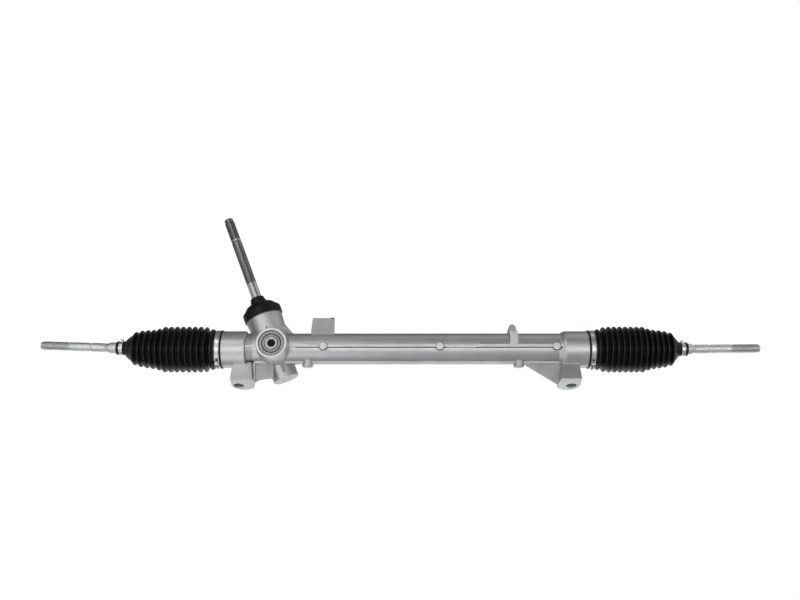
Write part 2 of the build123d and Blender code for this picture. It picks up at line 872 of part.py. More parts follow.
def make_ball_seat(side):
    """Plastic cup round the ball, open towards the rod."""
    with BuildPart() as seat:
        with BuildSketch(side_section(side, ball_x(side))):
            Circle(seat_outer_r)
            Circle(seat_inner_r, mode=Mode.SUBTRACT)
            with Locations((-seat_back, 0)):
                Rectangle(seat_back + seat_front, socket_od, align=(Align.MIN, Align.MIN), mode=Mode.INTERSECT)
        revolve(axis=rack_axis)
    return seat


def make_tie_rod(side):
    """Ball, neck, rod with the swell for the boot, wrench flats and plain thread blank."""
    neck_x = sqrt(ball_r**2 - (rod_neck_dia / 2) ** 2)
    flats_start = rod_step_start + rod_step_length
    rod_axis = Axis(ball_centre(side), rod_out(side))
    with BuildPart() as tie_rod:
        with BuildSketch(rod_section(side)):
            with BuildLine():
                Polyline(
                    (neck_x, 0),
                    (neck_x, rod_neck_dia / 2),
                    (rod_neck_length, rod_dia / 2),
                    (rod_swell_start - rod_swell_taper, rod_dia / 2),
                    (rod_swell_start, rod_swell_dia / 2),
                    (rod_swell_end, rod_swell_dia / 2),
                    (rod_swell_end + rod_swell_taper, rod_dia / 2),
                    (rod_step_start, rod_dia / 2),
                    (rod_step_start + rod_step_length / 2, rod_step_dia / 2),
                    (rod_step_start + rod_step_length, rod_dia / 2),
                    (rod_step_start + rod_step_length, flats_dia / 2),
                    (rod_end - thread_length - thread_groove_length, flats_dia / 2),
                    (rod_end - thread_length - thread_groove_length, thread_groove_dia / 2),
                    (rod_end - thread_length, thread_groove_dia / 2),
                    (rod_end - thread_length, thread_dia / 2),
                    (rod_end - thread_chamfer, thread_dia / 2),
                    (rod_end, thread_dia / 2 - thread_chamfer),
                    (rod_end, 0),
                    close=True,
                )
            make_face()
        revolve(axis=rod_axis)
        with BuildSketch(rod_section(side)):
            Circle(ball_r)
            Rectangle(2 * ball_dia, ball_dia, align=(Align.CENTER, Align.MAX), mode=Mode.SUBTRACT)
        revolve(axis=rod_axis)
        # Wrench flats above and below, between the grooved step and the thread.
        with BuildSketch(across_rod(side, flats_start)):
            for turn in (-1, 1):
                with Locations((0, turn * (flats_across + thread_dia) / 2)):
                    Rectangle(thread_dia, thread_dia)
        extrude(amount=rod_end - thread_length - flats_start, mode=Mode.SUBTRACT)
    return tie_rod


# ---- Boots: bellows with a cuff on the housing's neck and a small cuff on the rod ----
neck_r = neck_dia / 2
cuff_r = neck_r + boot_cuff_wall
lip_inner_r = rod_swell_dia / 2 + loose_clearance
lip_outer_r = lip_inner_r + boot_lip_wall


def crest_r(pleat):
    """Radius of one pleat, counted outwards from the housing: a low first one, wide ones, then a taper."""
    if pleat == 0:
        return boot_first_crest_dia / 2
    if pleat < boot_wide_pleats:
        return boot_crest_dia / 2
    step = (boot_taper_dia - boot_nose_crest_dia) / 2 / (boot_pleats - 1 - boot_wide_pleats)
    return boot_taper_dia / 2 - step * (pleat - boot_wide_pleats)


def make_boot(side):
    """Bellows boot, as long as the rack's place at rest leaves it, with its nose on the rod's own axis."""
    ball = side * ball_x(side)
    nose_x = boot_nose_reach + side * boot_rest
    lip_x = boot_lip_reach + side * boot_rest
    last_crest = nose_x - boot_nose_length
    pitch = (last_crest - boot_first_crest) / (boot_pleats - 1)
    valley = boot_pleat_depth + boot_wall
    base_r = boot_nose_base_dia / 2
    outer = [
        (neck_start, boot_bead_dia / 2),
        (neck_start + boot_bead_width, boot_bead_dia / 2),
        (neck_start + boot_bead_width, cuff_r),
        (housing_end, cuff_r),
    ]
    for pleat in range(boot_pleats):
        crest = crest_r(pleat)
        outer.append((boot_first_crest + pleat * pitch, crest))
        if pleat < boot_pleats - 1:
            outer.append((boot_first_crest + (pleat + 0.5) * pitch, crest - boot_pleat_depth))
    outer.append((last_crest + pitch / 2, base_r))
    inner = [
        (neck_start, neck_r),
        (housing_end, neck_r),
        (boot_first_crest + pitch / 2, boot_first_crest_dia / 2 - valley),
        (boot_first_crest + 1.5 * pitch, boot_crest_dia / 2 - valley),
        (boot_first_crest + (boot_wide_pleats - 1) * pitch, boot_crest_dia / 2 - valley),
        (last_crest - pitch / 2, boot_nose_crest_dia / 2 - valley),
        (last_crest + pitch / 2, base_r - boot_wall),
    ]
    nose_outer = [
        (last_crest + pitch / 4 - ball, base_r),
        (nose_x - ball, boot_nose_ridge_dia / 2),
        (nose_x + boot_wall - ball, lip_outer_r),
        (lip_x - ball, lip_outer_r),
    ]
    nose_inner = [
        (last_crest + pitch / 4 - ball, base_r - 2 * boot_wall),
        (nose_x - ball, lip_inner_r),
        (lip_x - ball, lip_inner_r),
    ]
    with BuildPart() as boot:
        with BuildSketch(side_section(side, 0)):
            with BuildLine():
                Polyline(*outer, *reversed(inner), close=True)
            make_face()
        revolve(axis=rack_axis)
        with BuildSketch(rod_section(side)):
            with BuildLine():
                Polyline(*nose_outer, *reversed(nose_inner), close=True)
            make_face()
        revolve(axis=Axis(ball_centre(side), rod_out(side)))
    return boot


def make_boot_clamp(side):
    """Wide band round the boot's cuff, with a crimped ear at its lower front."""
    clamp_inner_r = cuff_r + loose_clearance
    with BuildPart() as clamp:
        with BuildSketch(across(side * clamp_station - clamp_width / 2)):
            Circle(clamp_inner_r + clamp_thickness)
            with Locations(Location((0, 0), 180 + clamp_ear_angle)):
                with Locations((clamp_inner_r, 0)):
                    Rectangle(clamp_ear_height + clamp_thickness, clamp_ear_width, align=(Align.MIN, Align.CENTER))
            Circle(clamp_inner_r, mode=Mode.SUBTRACT)
        extrude(amount=clamp_width)
    return clamp


def make_rod_clamp(side):
    """Narrow band round the boot's small cuff."""
    inner_r = lip_outer_r + loose_clearance
    reach = rod_clamp_reach + side * boot_rest - side * ball_x(side)
    with BuildPart() as clamp:
        with BuildSketch(across_rod(side, reach - rod_clamp_width / 2)):
            Circle(inner_r + rod_clamp_thickness)
            Circle(inner_r, mode=Mode.SUBTRACT)
        extrude(amount=rod_clamp_width)
    return clamp


for side_name, side in (("left", -1), ("right", 1)):
    save(make_washer(side), f"{side_name}_stop_washer")
    save(make_socket(side), f"{side_name}_socket")
    save(make_ball_seat(side), f"{side_name}_ball_seat")
    save(make_tie_rod(side), f"{side_name}_tie_rod")
    save(make_boot(side), f"{side_name}_boot")
    save(make_boot_clamp(side), f"{side_name}_boot_clamp")
    save(make_rod_clamp(side), f"{side_name}_rod_clamp")
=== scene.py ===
from math import cos, pi, radians, sin

import bmesh
import bpy
from mathutils import Matrix, Vector


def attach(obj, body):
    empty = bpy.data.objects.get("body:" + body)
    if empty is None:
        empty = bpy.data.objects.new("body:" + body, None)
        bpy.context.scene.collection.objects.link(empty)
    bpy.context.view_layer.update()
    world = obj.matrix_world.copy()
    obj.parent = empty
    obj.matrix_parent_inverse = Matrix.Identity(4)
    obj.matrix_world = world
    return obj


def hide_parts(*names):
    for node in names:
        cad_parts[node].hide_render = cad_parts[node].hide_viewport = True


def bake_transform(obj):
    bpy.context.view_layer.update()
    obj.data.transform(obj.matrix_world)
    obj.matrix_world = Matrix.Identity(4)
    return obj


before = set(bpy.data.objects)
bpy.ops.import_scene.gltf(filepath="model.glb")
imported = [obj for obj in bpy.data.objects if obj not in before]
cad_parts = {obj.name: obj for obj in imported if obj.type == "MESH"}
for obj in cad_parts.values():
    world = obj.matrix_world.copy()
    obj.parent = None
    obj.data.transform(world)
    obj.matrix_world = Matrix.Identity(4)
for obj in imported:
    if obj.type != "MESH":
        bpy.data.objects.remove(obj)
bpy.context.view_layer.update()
scene = bpy.context.scene

# ---- The steering rack's own places, in millimetres and degrees, as the solids have them ----
gear_lean, pinion_tilt = 12.0, 21.4
rack_forward, rack_height = 17.5, 56.5
pinion_x, pinion_depth = -212.8, 17.978
ball_reach, rack_rest = 385.0, -8.0
housing_end, neck_start = 310.0, 296.8
tube_bore_r, bell_bore_r, stop_wall = 18.5, 24.0, 274.7
foot_x = 265.8
pad_places = (-132.2, 55.8, 243.8)
stud_places = (-157.8, 184.4)
boot_rest, boot_nose_reach, rod_clamp_reach = -5.0, 452.0, 458.6
rod_rise = {-1: radians(2.1), 1: radians(0.6)}

# ---- Directions and centres of the leaning gear ----
lean, tilt = radians(gear_lean), radians(pinion_tilt)
along = Vector((1, 0, 0))
forward = Vector((0, -cos(lean), -sin(lean)))
upward = Vector((0, -sin(lean), cos(lean)))
rack_centre = Vector((0, -rack_forward, rack_height))
pinion_up = upward * cos(tilt) - along * sin(tilt)
pinion_side = along * cos(tilt) + upward * sin(tilt)
pinion_centre = rack_centre + along * pinion_x - forward * pinion_depth


# ---- Places: each piece is made in millimetres about its own Z, then moved to metres ----
def place(origin, x_dir, z_dir):
    """Matrix from a piece's own millimetres to its place in metres."""
    turn = Matrix((x_dir, z_dir.cross(x_dir), z_dir)).transposed().to_4x4()
    return Matrix.Scale(0.001, 4) @ Matrix.Translation(origin) @ turn


def on_rack(side=1, rise=0.0):
    """Z runs outwards along the rack, X towards the front."""
    return place(rack_centre + upward * rise, forward, along * side)


def on_pinion():
    """Z runs up the pinion shaft from the rack, X sideways."""
    return place(pinion_centre, pinion_side, pinion_up)


def on_front(x=0.0, reach=0.0, rise=0.0):
    """Z faces the front, X runs along the rack, Y upwards."""
    return place(rack_centre + along * x + forward * reach + upward * rise, along, forward)


def ball_x(side):
    """How far out a tie rod's ball is at rest."""
    return ball_reach + side * rack_rest


def on_rod(side):
    """Z runs out along a tie rod from its ball, X towards the front."""
    out = along * side * cos(rod_rise[side]) + Vector((0, 0, sin(rod_rise[side])))
    return place(rack_centre + along * side * ball_x(side), Vector((0, -1, 0)), out)


def bend(whole, side, start, end):
    """Turns a piece about the ball, more and more between two stations, so that it meets the risen rod."""
    centre = (rack_centre + along * side * ball_x(side)) / 1000
    for v in whole.verts:
        share = min(max((side * v.co.x * 1000 - start) / (end - start), 0), 1)
        angle = -side * rod_rise[side] * share * share * (3 - 2 * share)
        v.co = Matrix.Rotation(angle, 3, "Y") @ (v.co - centre) + centre


# ---- Shapes ----
def tidy(form):
    """Merges doubles and points the faces outwards."""
    bmesh.ops.remove_doubles(form, verts=form.verts, dist=1e-4)
    bmesh.ops.recalc_face_normals(form, faces=form.faces)
    return form


def soften(form, width, segments=2, above=28, keep=None):
    """Rounds the edges that turn by more than an angle in degrees."""
    edges = [e for e in form.edges if len(e.link_faces) == 2 and e.calc_face_angle(0) > radians(above)]
    if keep:
        edges = [e for e in edges if keep(e)]
    bmesh.ops.bevel(form, geom=edges, offset=width, offset_type="OFFSET", affect="EDGES",
                    segments=segments, profile=0.5, material=-1, clamp_overlap=False)
    return form


def turned(profile, steps=96, ring=False):
    """Profile of (height, radius) pairs spun about Z. A ring's profile is closed on itself."""
    form = bmesh.new()
    points = [form.verts.new((radius, 0, height)) for height, radius in profile]
    edges = [form.edges.new(pair) for pair in zip(points, points[1:])]
    if ring:
        edges.append(form.edges.new((points[-1], points[0])))
    bmesh.ops.spin(form, geom=points + edges, cent=(0, 0, 0), axis=(0, 0, 1), angle=2 * pi,
                   steps=steps, use_merge=True)
    return tidy(form)


def cut_out(outline, depth, base=0.0):
    """Flat outline in X and Y, drawn out along Z."""
    form = bmesh.new()
    face = form.faces.new([form.verts.new((x, y, base)) for x, y in outline])
    grown = bmesh.ops.extrude_face_region(form, geom=[face])["geom"]
    top = [v for v in grown if isinstance(v, bmesh.types.BMVert)]
    bmesh.ops.translate(form, vec=(0, 0, depth), verts=top)
    return tidy(form)


def rounded(points, radius, steps=4):
    """Outline whose corners are arcs, from its corner points."""
    outline = []
    for number, corner in enumerate(points):
        before = (Vector(points[number - 1]) - Vector(corner)).normalized()
        after = (Vector(points[(number + 1) % len(points)]) - Vector(corner)).normalized()
        start, end = Vector(corner) + before * radius, Vector(corner) + after * radius
        for step in range(steps + 1):
            t = step / steps
            outline.append(tuple((1 - t) ** 2 * start + 2 * t * (1 - t) * Vector(corner) + t**2 * end))
    return outline


def arc(radius, first, last, steps, centre=(0, 0)):
    """Points along an arc, angles in degrees."""
    angles = [radians(first + (last - first) * step / steps) for step in range(steps + 1)]
    return [(centre[0] + radius * cos(a), centre[1] + radius * sin(a)) for a in angles]


def join(whole, part, where):
    """Moves one shape to its place and adds it to a piece."""
    bmesh.ops.transform(part, matrix=where, verts=part.verts)
    held = bpy.data.meshes.new("held")
    part.to_mesh(held)
    part.free()
    whole.from_mesh(held)
    bpy.data.meshes.remove(held)


def finish_piece(name, whole, finish, body, nodes=(), sharp=38):
    """Makes the object, with its finish, its body and the nodes that it stands for."""
    mesh = bpy.data.meshes.new(name)
    whole.to_mesh(mesh)
    whole.free()
    mesh.shade_smooth()
    mesh.set_sharp_from_angle(angle=radians(sharp))
    mesh.materials.append(finish)
    piece = bpy.data.objects.new(name, mesh)
    scene.collection.objects.link(piece)
    if body:
        even = piece.modifiers.new("even", "WEIGHTED_NORMAL")
        even.keep_sharp = True
        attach(piece, body)
    if nodes:
        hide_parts(*nodes)
    return piece


# ---- Finishes ----
def socket(group, name, kind, way="INPUT", value=None):
    """One named socket of a node group."""
    made = group.interface.new_socket(name=name, in_out=way, socket_type=kind)
    if value is not None:
        made.default_value = value


def mottle_group():
    """Cloudy patches and fine grain: a colour mask, a roughness mask and a height."""
    group = bpy.data.node_groups.new("mottle", "ShaderNodeTree")
    socket(group, "Vector", "NodeSocketVector")
    socket(group, "Cloud Scale", "NodeSocketFloat", value=30.0)
    socket(group, "Grain Scale", "NodeSocketFloat", value=900.0)
    socket(group, "Cloud", "NodeSocketFloat", "OUTPUT")
    socket(group, "Grain", "NodeSocketFloat", "OUTPUT")
    socket(group, "Height", "NodeSocketFloat", "OUTPUT")
    nodes, links = group.nodes, group.links
    entry, leave = nodes.new("NodeGroupInput"), nodes.new("NodeGroupOutput")
    cloud, grain = nodes.new("ShaderNodeTexNoise"), nodes.new("ShaderNodeTexNoise")
    cloud.inputs["Detail"].default_value = 4.0
    grain.inputs["Detail"].default_value = 2.0
    spread = nodes.new("ShaderNodeMapRange")
    spread.inputs["From Min"].default_value = 0.35
    spread.inputs["From Max"].default_value = 0.65
    both = nodes.new("ShaderNodeMath")
    both.operation = "MULTIPLY_ADD"
    both.inputs[1].default_value = 0.35
    links.new(entry.outputs["Vector"], cloud.inputs["Vector"])
    links.new(entry.outputs["Vector"], grain.inputs["Vector"])
    links.new(entry.outputs["Cloud Scale"], cloud.inputs["Scale"])
    links.new(entry.outputs["Grain Scale"], grain.inputs["Scale"])
    links.new(cloud.outputs["Fac"], spread.inputs["Value"])
    links.new(spread.outputs["Result"], leave.inputs["Cloud"])
    links.new(grain.outputs["Fac"], leave.inputs["Grain"])
    links.new(spread.outputs["Result"], both.inputs[0])
    links.new(grain.outputs["Fac"], both.inputs[2])
    links.new(both.outputs["Value"], leave.inputs["Height"])
    return group


mottle = mottle_group()


bump_depth = 0.00005


def finish(name, light, dark, rough, rough_spread, metal, cloud=30.0, grain=900.0, bump=0.1,
           squeeze=(1, 1, 1), rounding=0.0, specular=0.5):
    """A surface with cloudy colour between two tones, uneven roughness and a fine bump."""
    made = bpy.data.materials.new(name)
    made.use_nodes = True
    nodes, links = made.node_tree.nodes, made.node_tree.links
    shader = nodes["Principled BSDF"]
    where = nodes.new("ShaderNodeTexCoord")
    stretch = nodes.new("ShaderNodeMapping")
    stretch.inputs["Scale"].default_value = squeeze
    patches = nodes.new("ShaderNodeGroup")
    patches.node_tree = mottle
    patches.inputs["Cloud Scale"].default_value = cloud
    patches.inputs["Grain Scale"].default_value = grain
    tone = nodes.new("ShaderNodeMix")
    tone.data_type = "RGBA"
    tone.inputs["A"].default_value = (*dark, 1)
    tone.inputs["B"].default_value = (*light, 1)
    level = nodes.new("ShaderNodeMapRange")
    level.inputs["To Min"].default_value = rough - rough_spread
    level.inputs["To Max"].default_value = rough + rough_spread
    relief = nodes.new("ShaderNodeBump")
    relief.inputs["Strength"].default_value = bump
    relief.inputs["Distance"].default_value = bump_depth
    links.new(where.outputs["Object"], stretch.inputs["Vector"])
    links.new(stretch.outputs["Vector"], patches.inputs["Vector"])
    links.new(patches.outputs["Cloud"], tone.inputs["Factor"])
    links.new(patches.outputs["Grain"], level.inputs["Value"])
    links.new(tone.outputs["Result"], shader.inputs["Base Color"])
    links.new(level.outputs["Result"], shader.inputs["Roughness"])
    links.new(patches.outputs["Height"], relief.inputs["Height"])
    links.new(relief.outputs["Normal"], shader.inputs["Normal"])
    if rounding:
        edge = nodes.new("ShaderNodeBevel")
        edge.samples = 6
        edge.inputs["Radius"].default_value = rounding
        links.new(edge.outputs["Normal"], relief.inputs["Normal"])
    shader.inputs["Metallic"].default_value = metal
    shader.inputs["Specular IOR Level"].default_value = specular
    return made


cast_skin = finish("cast_aluminium_skin", (0.635, 0.655, 0.66), (0.56, 0.575, 0.575), 0.45, 0.07, 0.9,
                   cloud=22, grain=700, bump=0.22, rounding=0.0012)
machined = finish("machined_aluminium", (0.66, 0.665, 0.66), (0.57, 0.575, 0.57), 0.30, 0.06, 0.95,
                  cloud=60, grain=1500, bump=0.08, rounding=0.0004)
pad_face = finish("pad_face", (0.80, 0.81, 0.80), (0.72, 0.73, 0.72), 0.44, 0.06, 0.9,
                  cloud=60, grain=1200, bump=0.1, rounding=0.0006)
# Painted light: lighter copy of the cast skin for the front rib, its bar and the lug rib, whose faces catch
# the light.
rib_painted_light = finish("rib_painted_light", (0.74, 0.755, 0.75), (0.66, 0.675, 0.67), 0.45, 0.06, 0.9,
                  cloud=40, grain=900, bump=0.15, rounding=0.0006)
# Painted shade: darker copy of the cast skin for the flat walls, which stand in shade.
wall_painted_shade = finish("cast_wall_painted_shade", (0.44, 0.455, 0.455), (0.38, 0.39, 0.39), 0.48, 0.06, 0.9,
                   cloud=40, grain=700, bump=0.2, rounding=0.0008)
# Nearly black: painted shade along the rib, round the pads and in the tab's notch, and the dark cast mark and
# clamp slots.
shade = finish("painted_shade_and_dark_marks", (0.10, 0.10, 0.10), (0.06, 0.06, 0.06), 0.6, 0.05, 0.5, cloud=100)
plug_zinc = finish("plug_zinc", (0.42, 0.44, 0.445), (0.34, 0.36, 0.365), 0.40, 0.08, 0.95,
                   cloud=120, grain=1500)
# Painted light: lighter copy of the plug's zinc for its raised teeth.
tooth_zinc_painted_light = finish("tooth_zinc_painted_light", (0.68, 0.70, 0.705), (0.60, 0.62, 0.62), 0.36, 0.06, 0.95, cloud=120)
hexagon_zinc = finish("hexagon_zinc", (0.56, 0.58, 0.585), (0.46, 0.48, 0.485), 0.40, 0.06, 0.95,
                      cloud=120)
milled_rim = finish("milled_rim", (0.85, 0.855, 0.85), (0.77, 0.775, 0.77), 0.42, 0.06, 0.85,
                    cloud=60, bump=0.08)
# Painted shade: darker brownish copy of the cast skin for the tube's waist beside the left bell.
waist_painted_shade = finish("waist_painted_shade", (0.49, 0.48, 0.46), (0.40, 0.39, 0.37), 0.50, 0.06, 0.9,
                     cloud=40, grain=700, bump=0.2)
rod_zinc = finish("rod_zinc", (0.84, 0.87, 0.865), (0.72, 0.75, 0.745), 0.50, 0.06, 0.9,
                  cloud=90, grain=900, squeeze=(0.35, 1, 1))
thread_steel = finish("thread_steel", (0.74, 0.755, 0.75), (0.62, 0.635, 0.63), 0.42, 0.08, 0.95, cloud=150)
shaft_steel = finish("shaft_steel", (0.30, 0.32, 0.33), (0.20, 0.215, 0.225), 0.32, 0.06, 1.0,
                     cloud=80, grain=1200, squeeze=(1, 1, 0.25))
shaft_bright = finish("shaft_ground", (0.80, 0.82, 0.84), (0.68, 0.70, 0.72), 0.14, 0.05, 1.0, cloud=80)
# Dark steel of the shaft's spline. On the plug, the same finish is painted shade between the teeth.
spline_steel_and_tooth_shade = finish("spline_steel_and_tooth_shade", (0.26, 0.265, 0.27), (0.17, 0.175, 0.18), 0.40, 0.08, 0.95, cloud=200)
boot_rubber = finish("boot_rubber", (0.005, 0.005, 0.0055), (0.003, 0.003, 0.0033), 0.36, 0.08, 0.0,
                     cloud=60, grain=1600, bump=0.1, specular=0.38)
cap_rubber = finish("cap_rubber", (0.006, 0.006, 0.0065), (0.0035, 0.0035, 0.004), 0.40, 0.08, 0.0,
                    cloud=80, grain=1600, bump=0.12, specular=0.3)
clamp_steel = finish("clamp_steel", (0.76, 0.77, 0.78), (0.68, 0.69, 0.70), 0.36, 0.05, 1.0, cloud=60)
dark_hole = finish("hole_shade", (0.010, 0.011, 0.012), (0.005, 0.005, 0.006), 0.6, 0.05, 0.0,
                   cloud=100, specular=0.15)
rack_steel = finish("rack_ground_steel", (0.52, 0.53, 0.54), (0.40, 0.41, 0.42), 0.22, 0.06, 1.0,
                    cloud=70, squeeze=(0.2, 1, 1))
bearing_steel = finish("bearing_steel", (0.60, 0.61, 0.62), (0.52, 0.53, 0.54), 0.18, 0.04, 1.0, cloud=90)
spring_steel = finish("spring_steel", (0.16, 0.17, 0.19), (0.10, 0.11, 0.12), 0.34, 0.06, 0.95, cloud=90)
bush_plastic = finish("bush_plastic", (0.74, 0.71, 0.61), (0.66, 0.63, 0.54), 0.45, 0.06, 0.0, cloud=50)


# ---- Housing casting ----
tube_end, tube_r, tube_rise, bell_r, neck_r = 259.5, 24.9, 1.5, 30.0, 27.5
foot_height, foot_shift, foot_taper = 31.5, 1.5, (0.815, 0.88, 1)
hole_r, hole_depth, hole_x = 8.0, 25.0, 4.2
wall_thickness = 7.0


def foot_outline(side):
    """Round back and flat front of one foot, in X and Y. The left foot is narrower on its outer side."""
    if side < 0:
        shape = [(14.4, -27.0), *arc(18.8, 0, 180, 40, (-2.8, 0)), (-21.8, -27.0)]
    else:
        shape = [(17.0, -29.5), *arc(18.7, 0, 180, 40, (-0.4, 0)), (-16.0, -29.5)]
    return [(side * x, y) for x, y in shape]


def make_foot(side):
    """Foot that narrows upwards, most on its inner side, with its blind fixing hole."""
    form = bmesh.new()
    low = [form.verts.new((x, y, 0)) for x, y in foot_outline(side)]
    face = form.faces.new(low)
    grown = bmesh.ops.extrude_face_region(form, geom=[face])["geom"]
    top = [v for v in grown if isinstance(v, bmesh.types.BMVert)]
    bmesh.ops.translate(form, vec=(side * foot_shift, 0, foot_height), verts=top)
    bmesh.ops.scale(form, vec=foot_taper, verts=top)
    sole = [f for f in form.faces if all(abs(v.co.z) < 1e-6 for v in f.verts)]
    bmesh.ops.delete(form, geom=sole, context="FACES_ONLY")
    outer_rim = [e for e in form.edges if e.is_boundary]
    hole = bmesh.ops.create_circle(form, cap_ends=False, segments=40, radius=hole_r)["verts"]
    bmesh.ops.translate(form, vec=(side * hole_x, 0, 0), verts=hole)
    rim = [e for e in form.edges if all(v in hole for v in e.verts)]
    bmesh.ops.triangle_fill(form, use_beauty=True, edges=outer_rim + rim)
    wall = bmesh.ops.extrude_edge_only(form, edges=rim)["geom"]
    deep = [v for v in wall if isinstance(v, bmesh.types.BMVert)]
    bmesh.ops.translate(form, vec=(0, 0, hole_depth), verts=deep)
    bmesh.ops.contextual_create(form, geom=deep)
    tidy(form)
    return soften(form, 0.9, above=50)


def make_tube(whole):
    """Tube open from end to end, and the two bells on it, each with its stop wall inside."""
    wall = [(-tube_end, tube_bore_r), (-tube_end, tube_r), (tube_end, tube_r), (tube_end, tube_bore_r)]
    tube = turned(wall, 128, ring=True)
    join(whole, tube, on_rack(rise=tube_rise))
    flares = {
        -1: [(258.2, tube_bore_r), (258.2, 29.0), (259.2, bell_r)],
        1: [(248.5, tube_bore_r), (248.5, 24.5), (252.0, 25.6), (256.0, 28.3), (259.0, 29.6),
            (262.0, bell_r)],
    }
    for side, flare in flares.items():
        neck = [(neck_start, bell_r), (neck_start, neck_r), (housing_end, neck_r), (housing_end, bell_bore_r),
                (stop_wall, bell_bore_r), (stop_wall, tube_bore_r)]
        join(whole, soften(turned(flare + neck, 128, ring=True), 0.6, above=40), on_rack(side))


def make_housing():
    """The casting's main forms, in one piece."""
    whole = bmesh.new()
    make_tube(whole)
    # Pinion tower.
    tower = turned([(-49.5, 0), (-49.5, 21.0), (-6.0, 21.4), (8.0, 26.4), (14.0, 27.5), (60.8, 30.4),
                    (61.8, 29.9), (66.5, 29.9), (66.5, 20.0), (50.0, 20.0), (50.0, 0)], 112)
    join(whole, soften(tower, 1.1, above=40), on_pinion())
    # Yoke boss, and the fin at its lower right.
    boss = turned([(0, 0), (0, 27.0), (28.0, 26.9), (40.0, 25.8), (47.4, 25.0), (48.5, 24.2), (48.5, 20.8),
                   (44.0, 20.8), (44.0, 0)], 96)
    join(whole, soften(boss, 0.5, above=40), on_front(x=pinion_x))
    turn = Matrix.Rotation(radians(-66.0), 4, "Z")
    on_edge = Matrix(((1, 0, 0, 0), (0, 0, -1, 0), (0, 1, 0, 0), (0, 0, 0, 1)))
    fin = cut_out([(0, 0), (44.0, 0), (24.5, 30.0), (0, 30.0)], 4.0, base=-2.0)
    join(whole, soften(fin, 0.9, above=40), on_front(x=pinion_x) @ turn @ on_edge)
    for side in (-1, 1):
        join(whole, make_foot(side), place(Vector((side * foot_x, 0, 0)), along, Vector((0, 0, 1))))
    # Rib and lip under the tube.
    low_rib = cut_out([(-246.5, -24.8), (260.0, -24.8), (260.0, -21.4), (-244.0, -21.4)], 9.0)
    join(whole, soften(low_rib, 0.5, above=40), on_front())
    lip = cut_out([(-245.0, -56.0), (-241.6, -56.0), (-243.2, -23.0), (-246.4, -23.0)], 8.0)
    join(whole, soften(lip, 0.8, above=40), on_front())
    for x in stud_places:
        stud = turned([(19.5, 0), (19.5, 8.7), (28.8, 8.7), (30.1, 8.1), (30.6, 6.8), (30.6, 0)], 40)
        foot_of_stud = rack_centre + forward * 4.5 + along * x
        join(whole, soften(stud, 0.8, above=40), place(foot_of_stud, along, -upward))
    finish_piece("housing_casting", whole, cast_skin, "housing", ["rack_housing"])


def make_front_rib():
    """Rib along the front, wider at the boss, with its plain bar, in a lighter copy of the cast skin that is
    painted light, and the boss's milled rim.
    """
    whole = bmesh.new()
    rib = cut_out([(-259.0, -1.8), (260.0, -1.8), (260.0, 3.8), (150.0, 3.8), (-60.0, 3.2), (-149.0, 2.2),
                   (-172.0, 4.4), (-191.0, 7.0), (pinion_x, 7.6), (-240.0, 5.2), (-248.0, 2.4),
                   (-259.0, 0.6)], 7.6, base=20.0)
    join(whole, soften(rib, 0.5, above=40), on_front())
    bar = cut_out([(67.0, -2.5), (113.0, -2.5), (113.0, 2.5), (67.0, 2.5)], 5.7, base=22.0)
    join(whole, soften(bar, 0.4, above=40), on_front())
    lug_rib = cut_out([(0, 25.0), (0, 20.0), (15.0, 16.0), (20.5, 4.0), (25.5, 4.0), (25.5, 25.0)],
                      13.4, base=-6.7)
    join(whole, soften(lug_rib, 0.9, above=60), place(rack_centre + along * 176.0, upward, along))
    # The rib's lighter skin is painted light.
    finish_piece("front_rib", whole, rib_painted_light, "housing")
    rim = bmesh.new()
    milled = turned([(47.8, 20.9), (48.62, 20.9), (48.62, 24.2), (47.8, 24.85)], 96, ring=True)
    join(rim, milled, on_front(x=pinion_x))
    finish_piece("boss_rim", rim, milled_rim, "housing")


def make_shade():
    """Painted shade along the front rib's upper and lower edges, a painted shadow crescent at the lower right
    of each pad, painted shade in the tab's notch, and a dark cast mark on the tower.
    """
    whole = bmesh.new()
    # Painted shade: thin dark strip on the tube just above the rib.
    over_rib = cut_out([(120.0, 4.6), (259.0, 4.6), (259.0, 5.4), (120.0, 5.4)], 2.95, base=22.0)
    join(whole, over_rib, on_front())
    # Painted shadow: a dark ring shifted down and right, so that only a crescent shows at each pad's lower
    # right.
    for x in pad_places:
        crescent = turned([(27.0, 6.2), (27.72, 6.2), (27.72, 7.15), (27.0, 7.15)], 40, ring=True)
        join(whole, crescent, on_front(x=x + 0.4, rise=-0.6))
    mark = turned([(0, 0), (0, 1.3), (0.6, 1.1), (0.6, 0)], 16)
    join(whole, mark, place(pinion_centre + pinion_up * 38.0 + forward * 28.7, pinion_side, forward))
    # Painted shade: thin dark strip under the rib.
    under_rib = cut_out([(-176.0, -2.7), (259.0, -2.7), (259.0, -1.85), (-176.0, -1.85)], 5.1, base=22.0)
    join(whole, under_rib, on_front())
    # Painted shade: a dark block stands for the shade in the tab's notch.
    notch = cut_out(rounded([(-121.8, 48.2), (-115.5, 48.2), (-115.5, 50.1), (-121.8, 50.1)], 0.4),
                    5.2, base=9.4)
    join(whole, notch, on_front())
    finish_piece("painted_shade_and_dark_marks", whole, shade, "housing")


def make_waist_shade():
    """Band of painted shade round the tube's waist between the left bell and the boss."""
    whole = bmesh.new()
    # Painted shade: a thin dark ring laid just over the tube's surface.
    waist = turned([(246.5, 24.0), (246.5, 25.0), (258.4, 25.0), (258.4, 24.0)], 128, ring=True)
    join(whole, waist, on_rack(-1, rise=tube_rise))
    finish_piece("bell_waist_painted_shade", whole, waist_painted_shade, "housing")


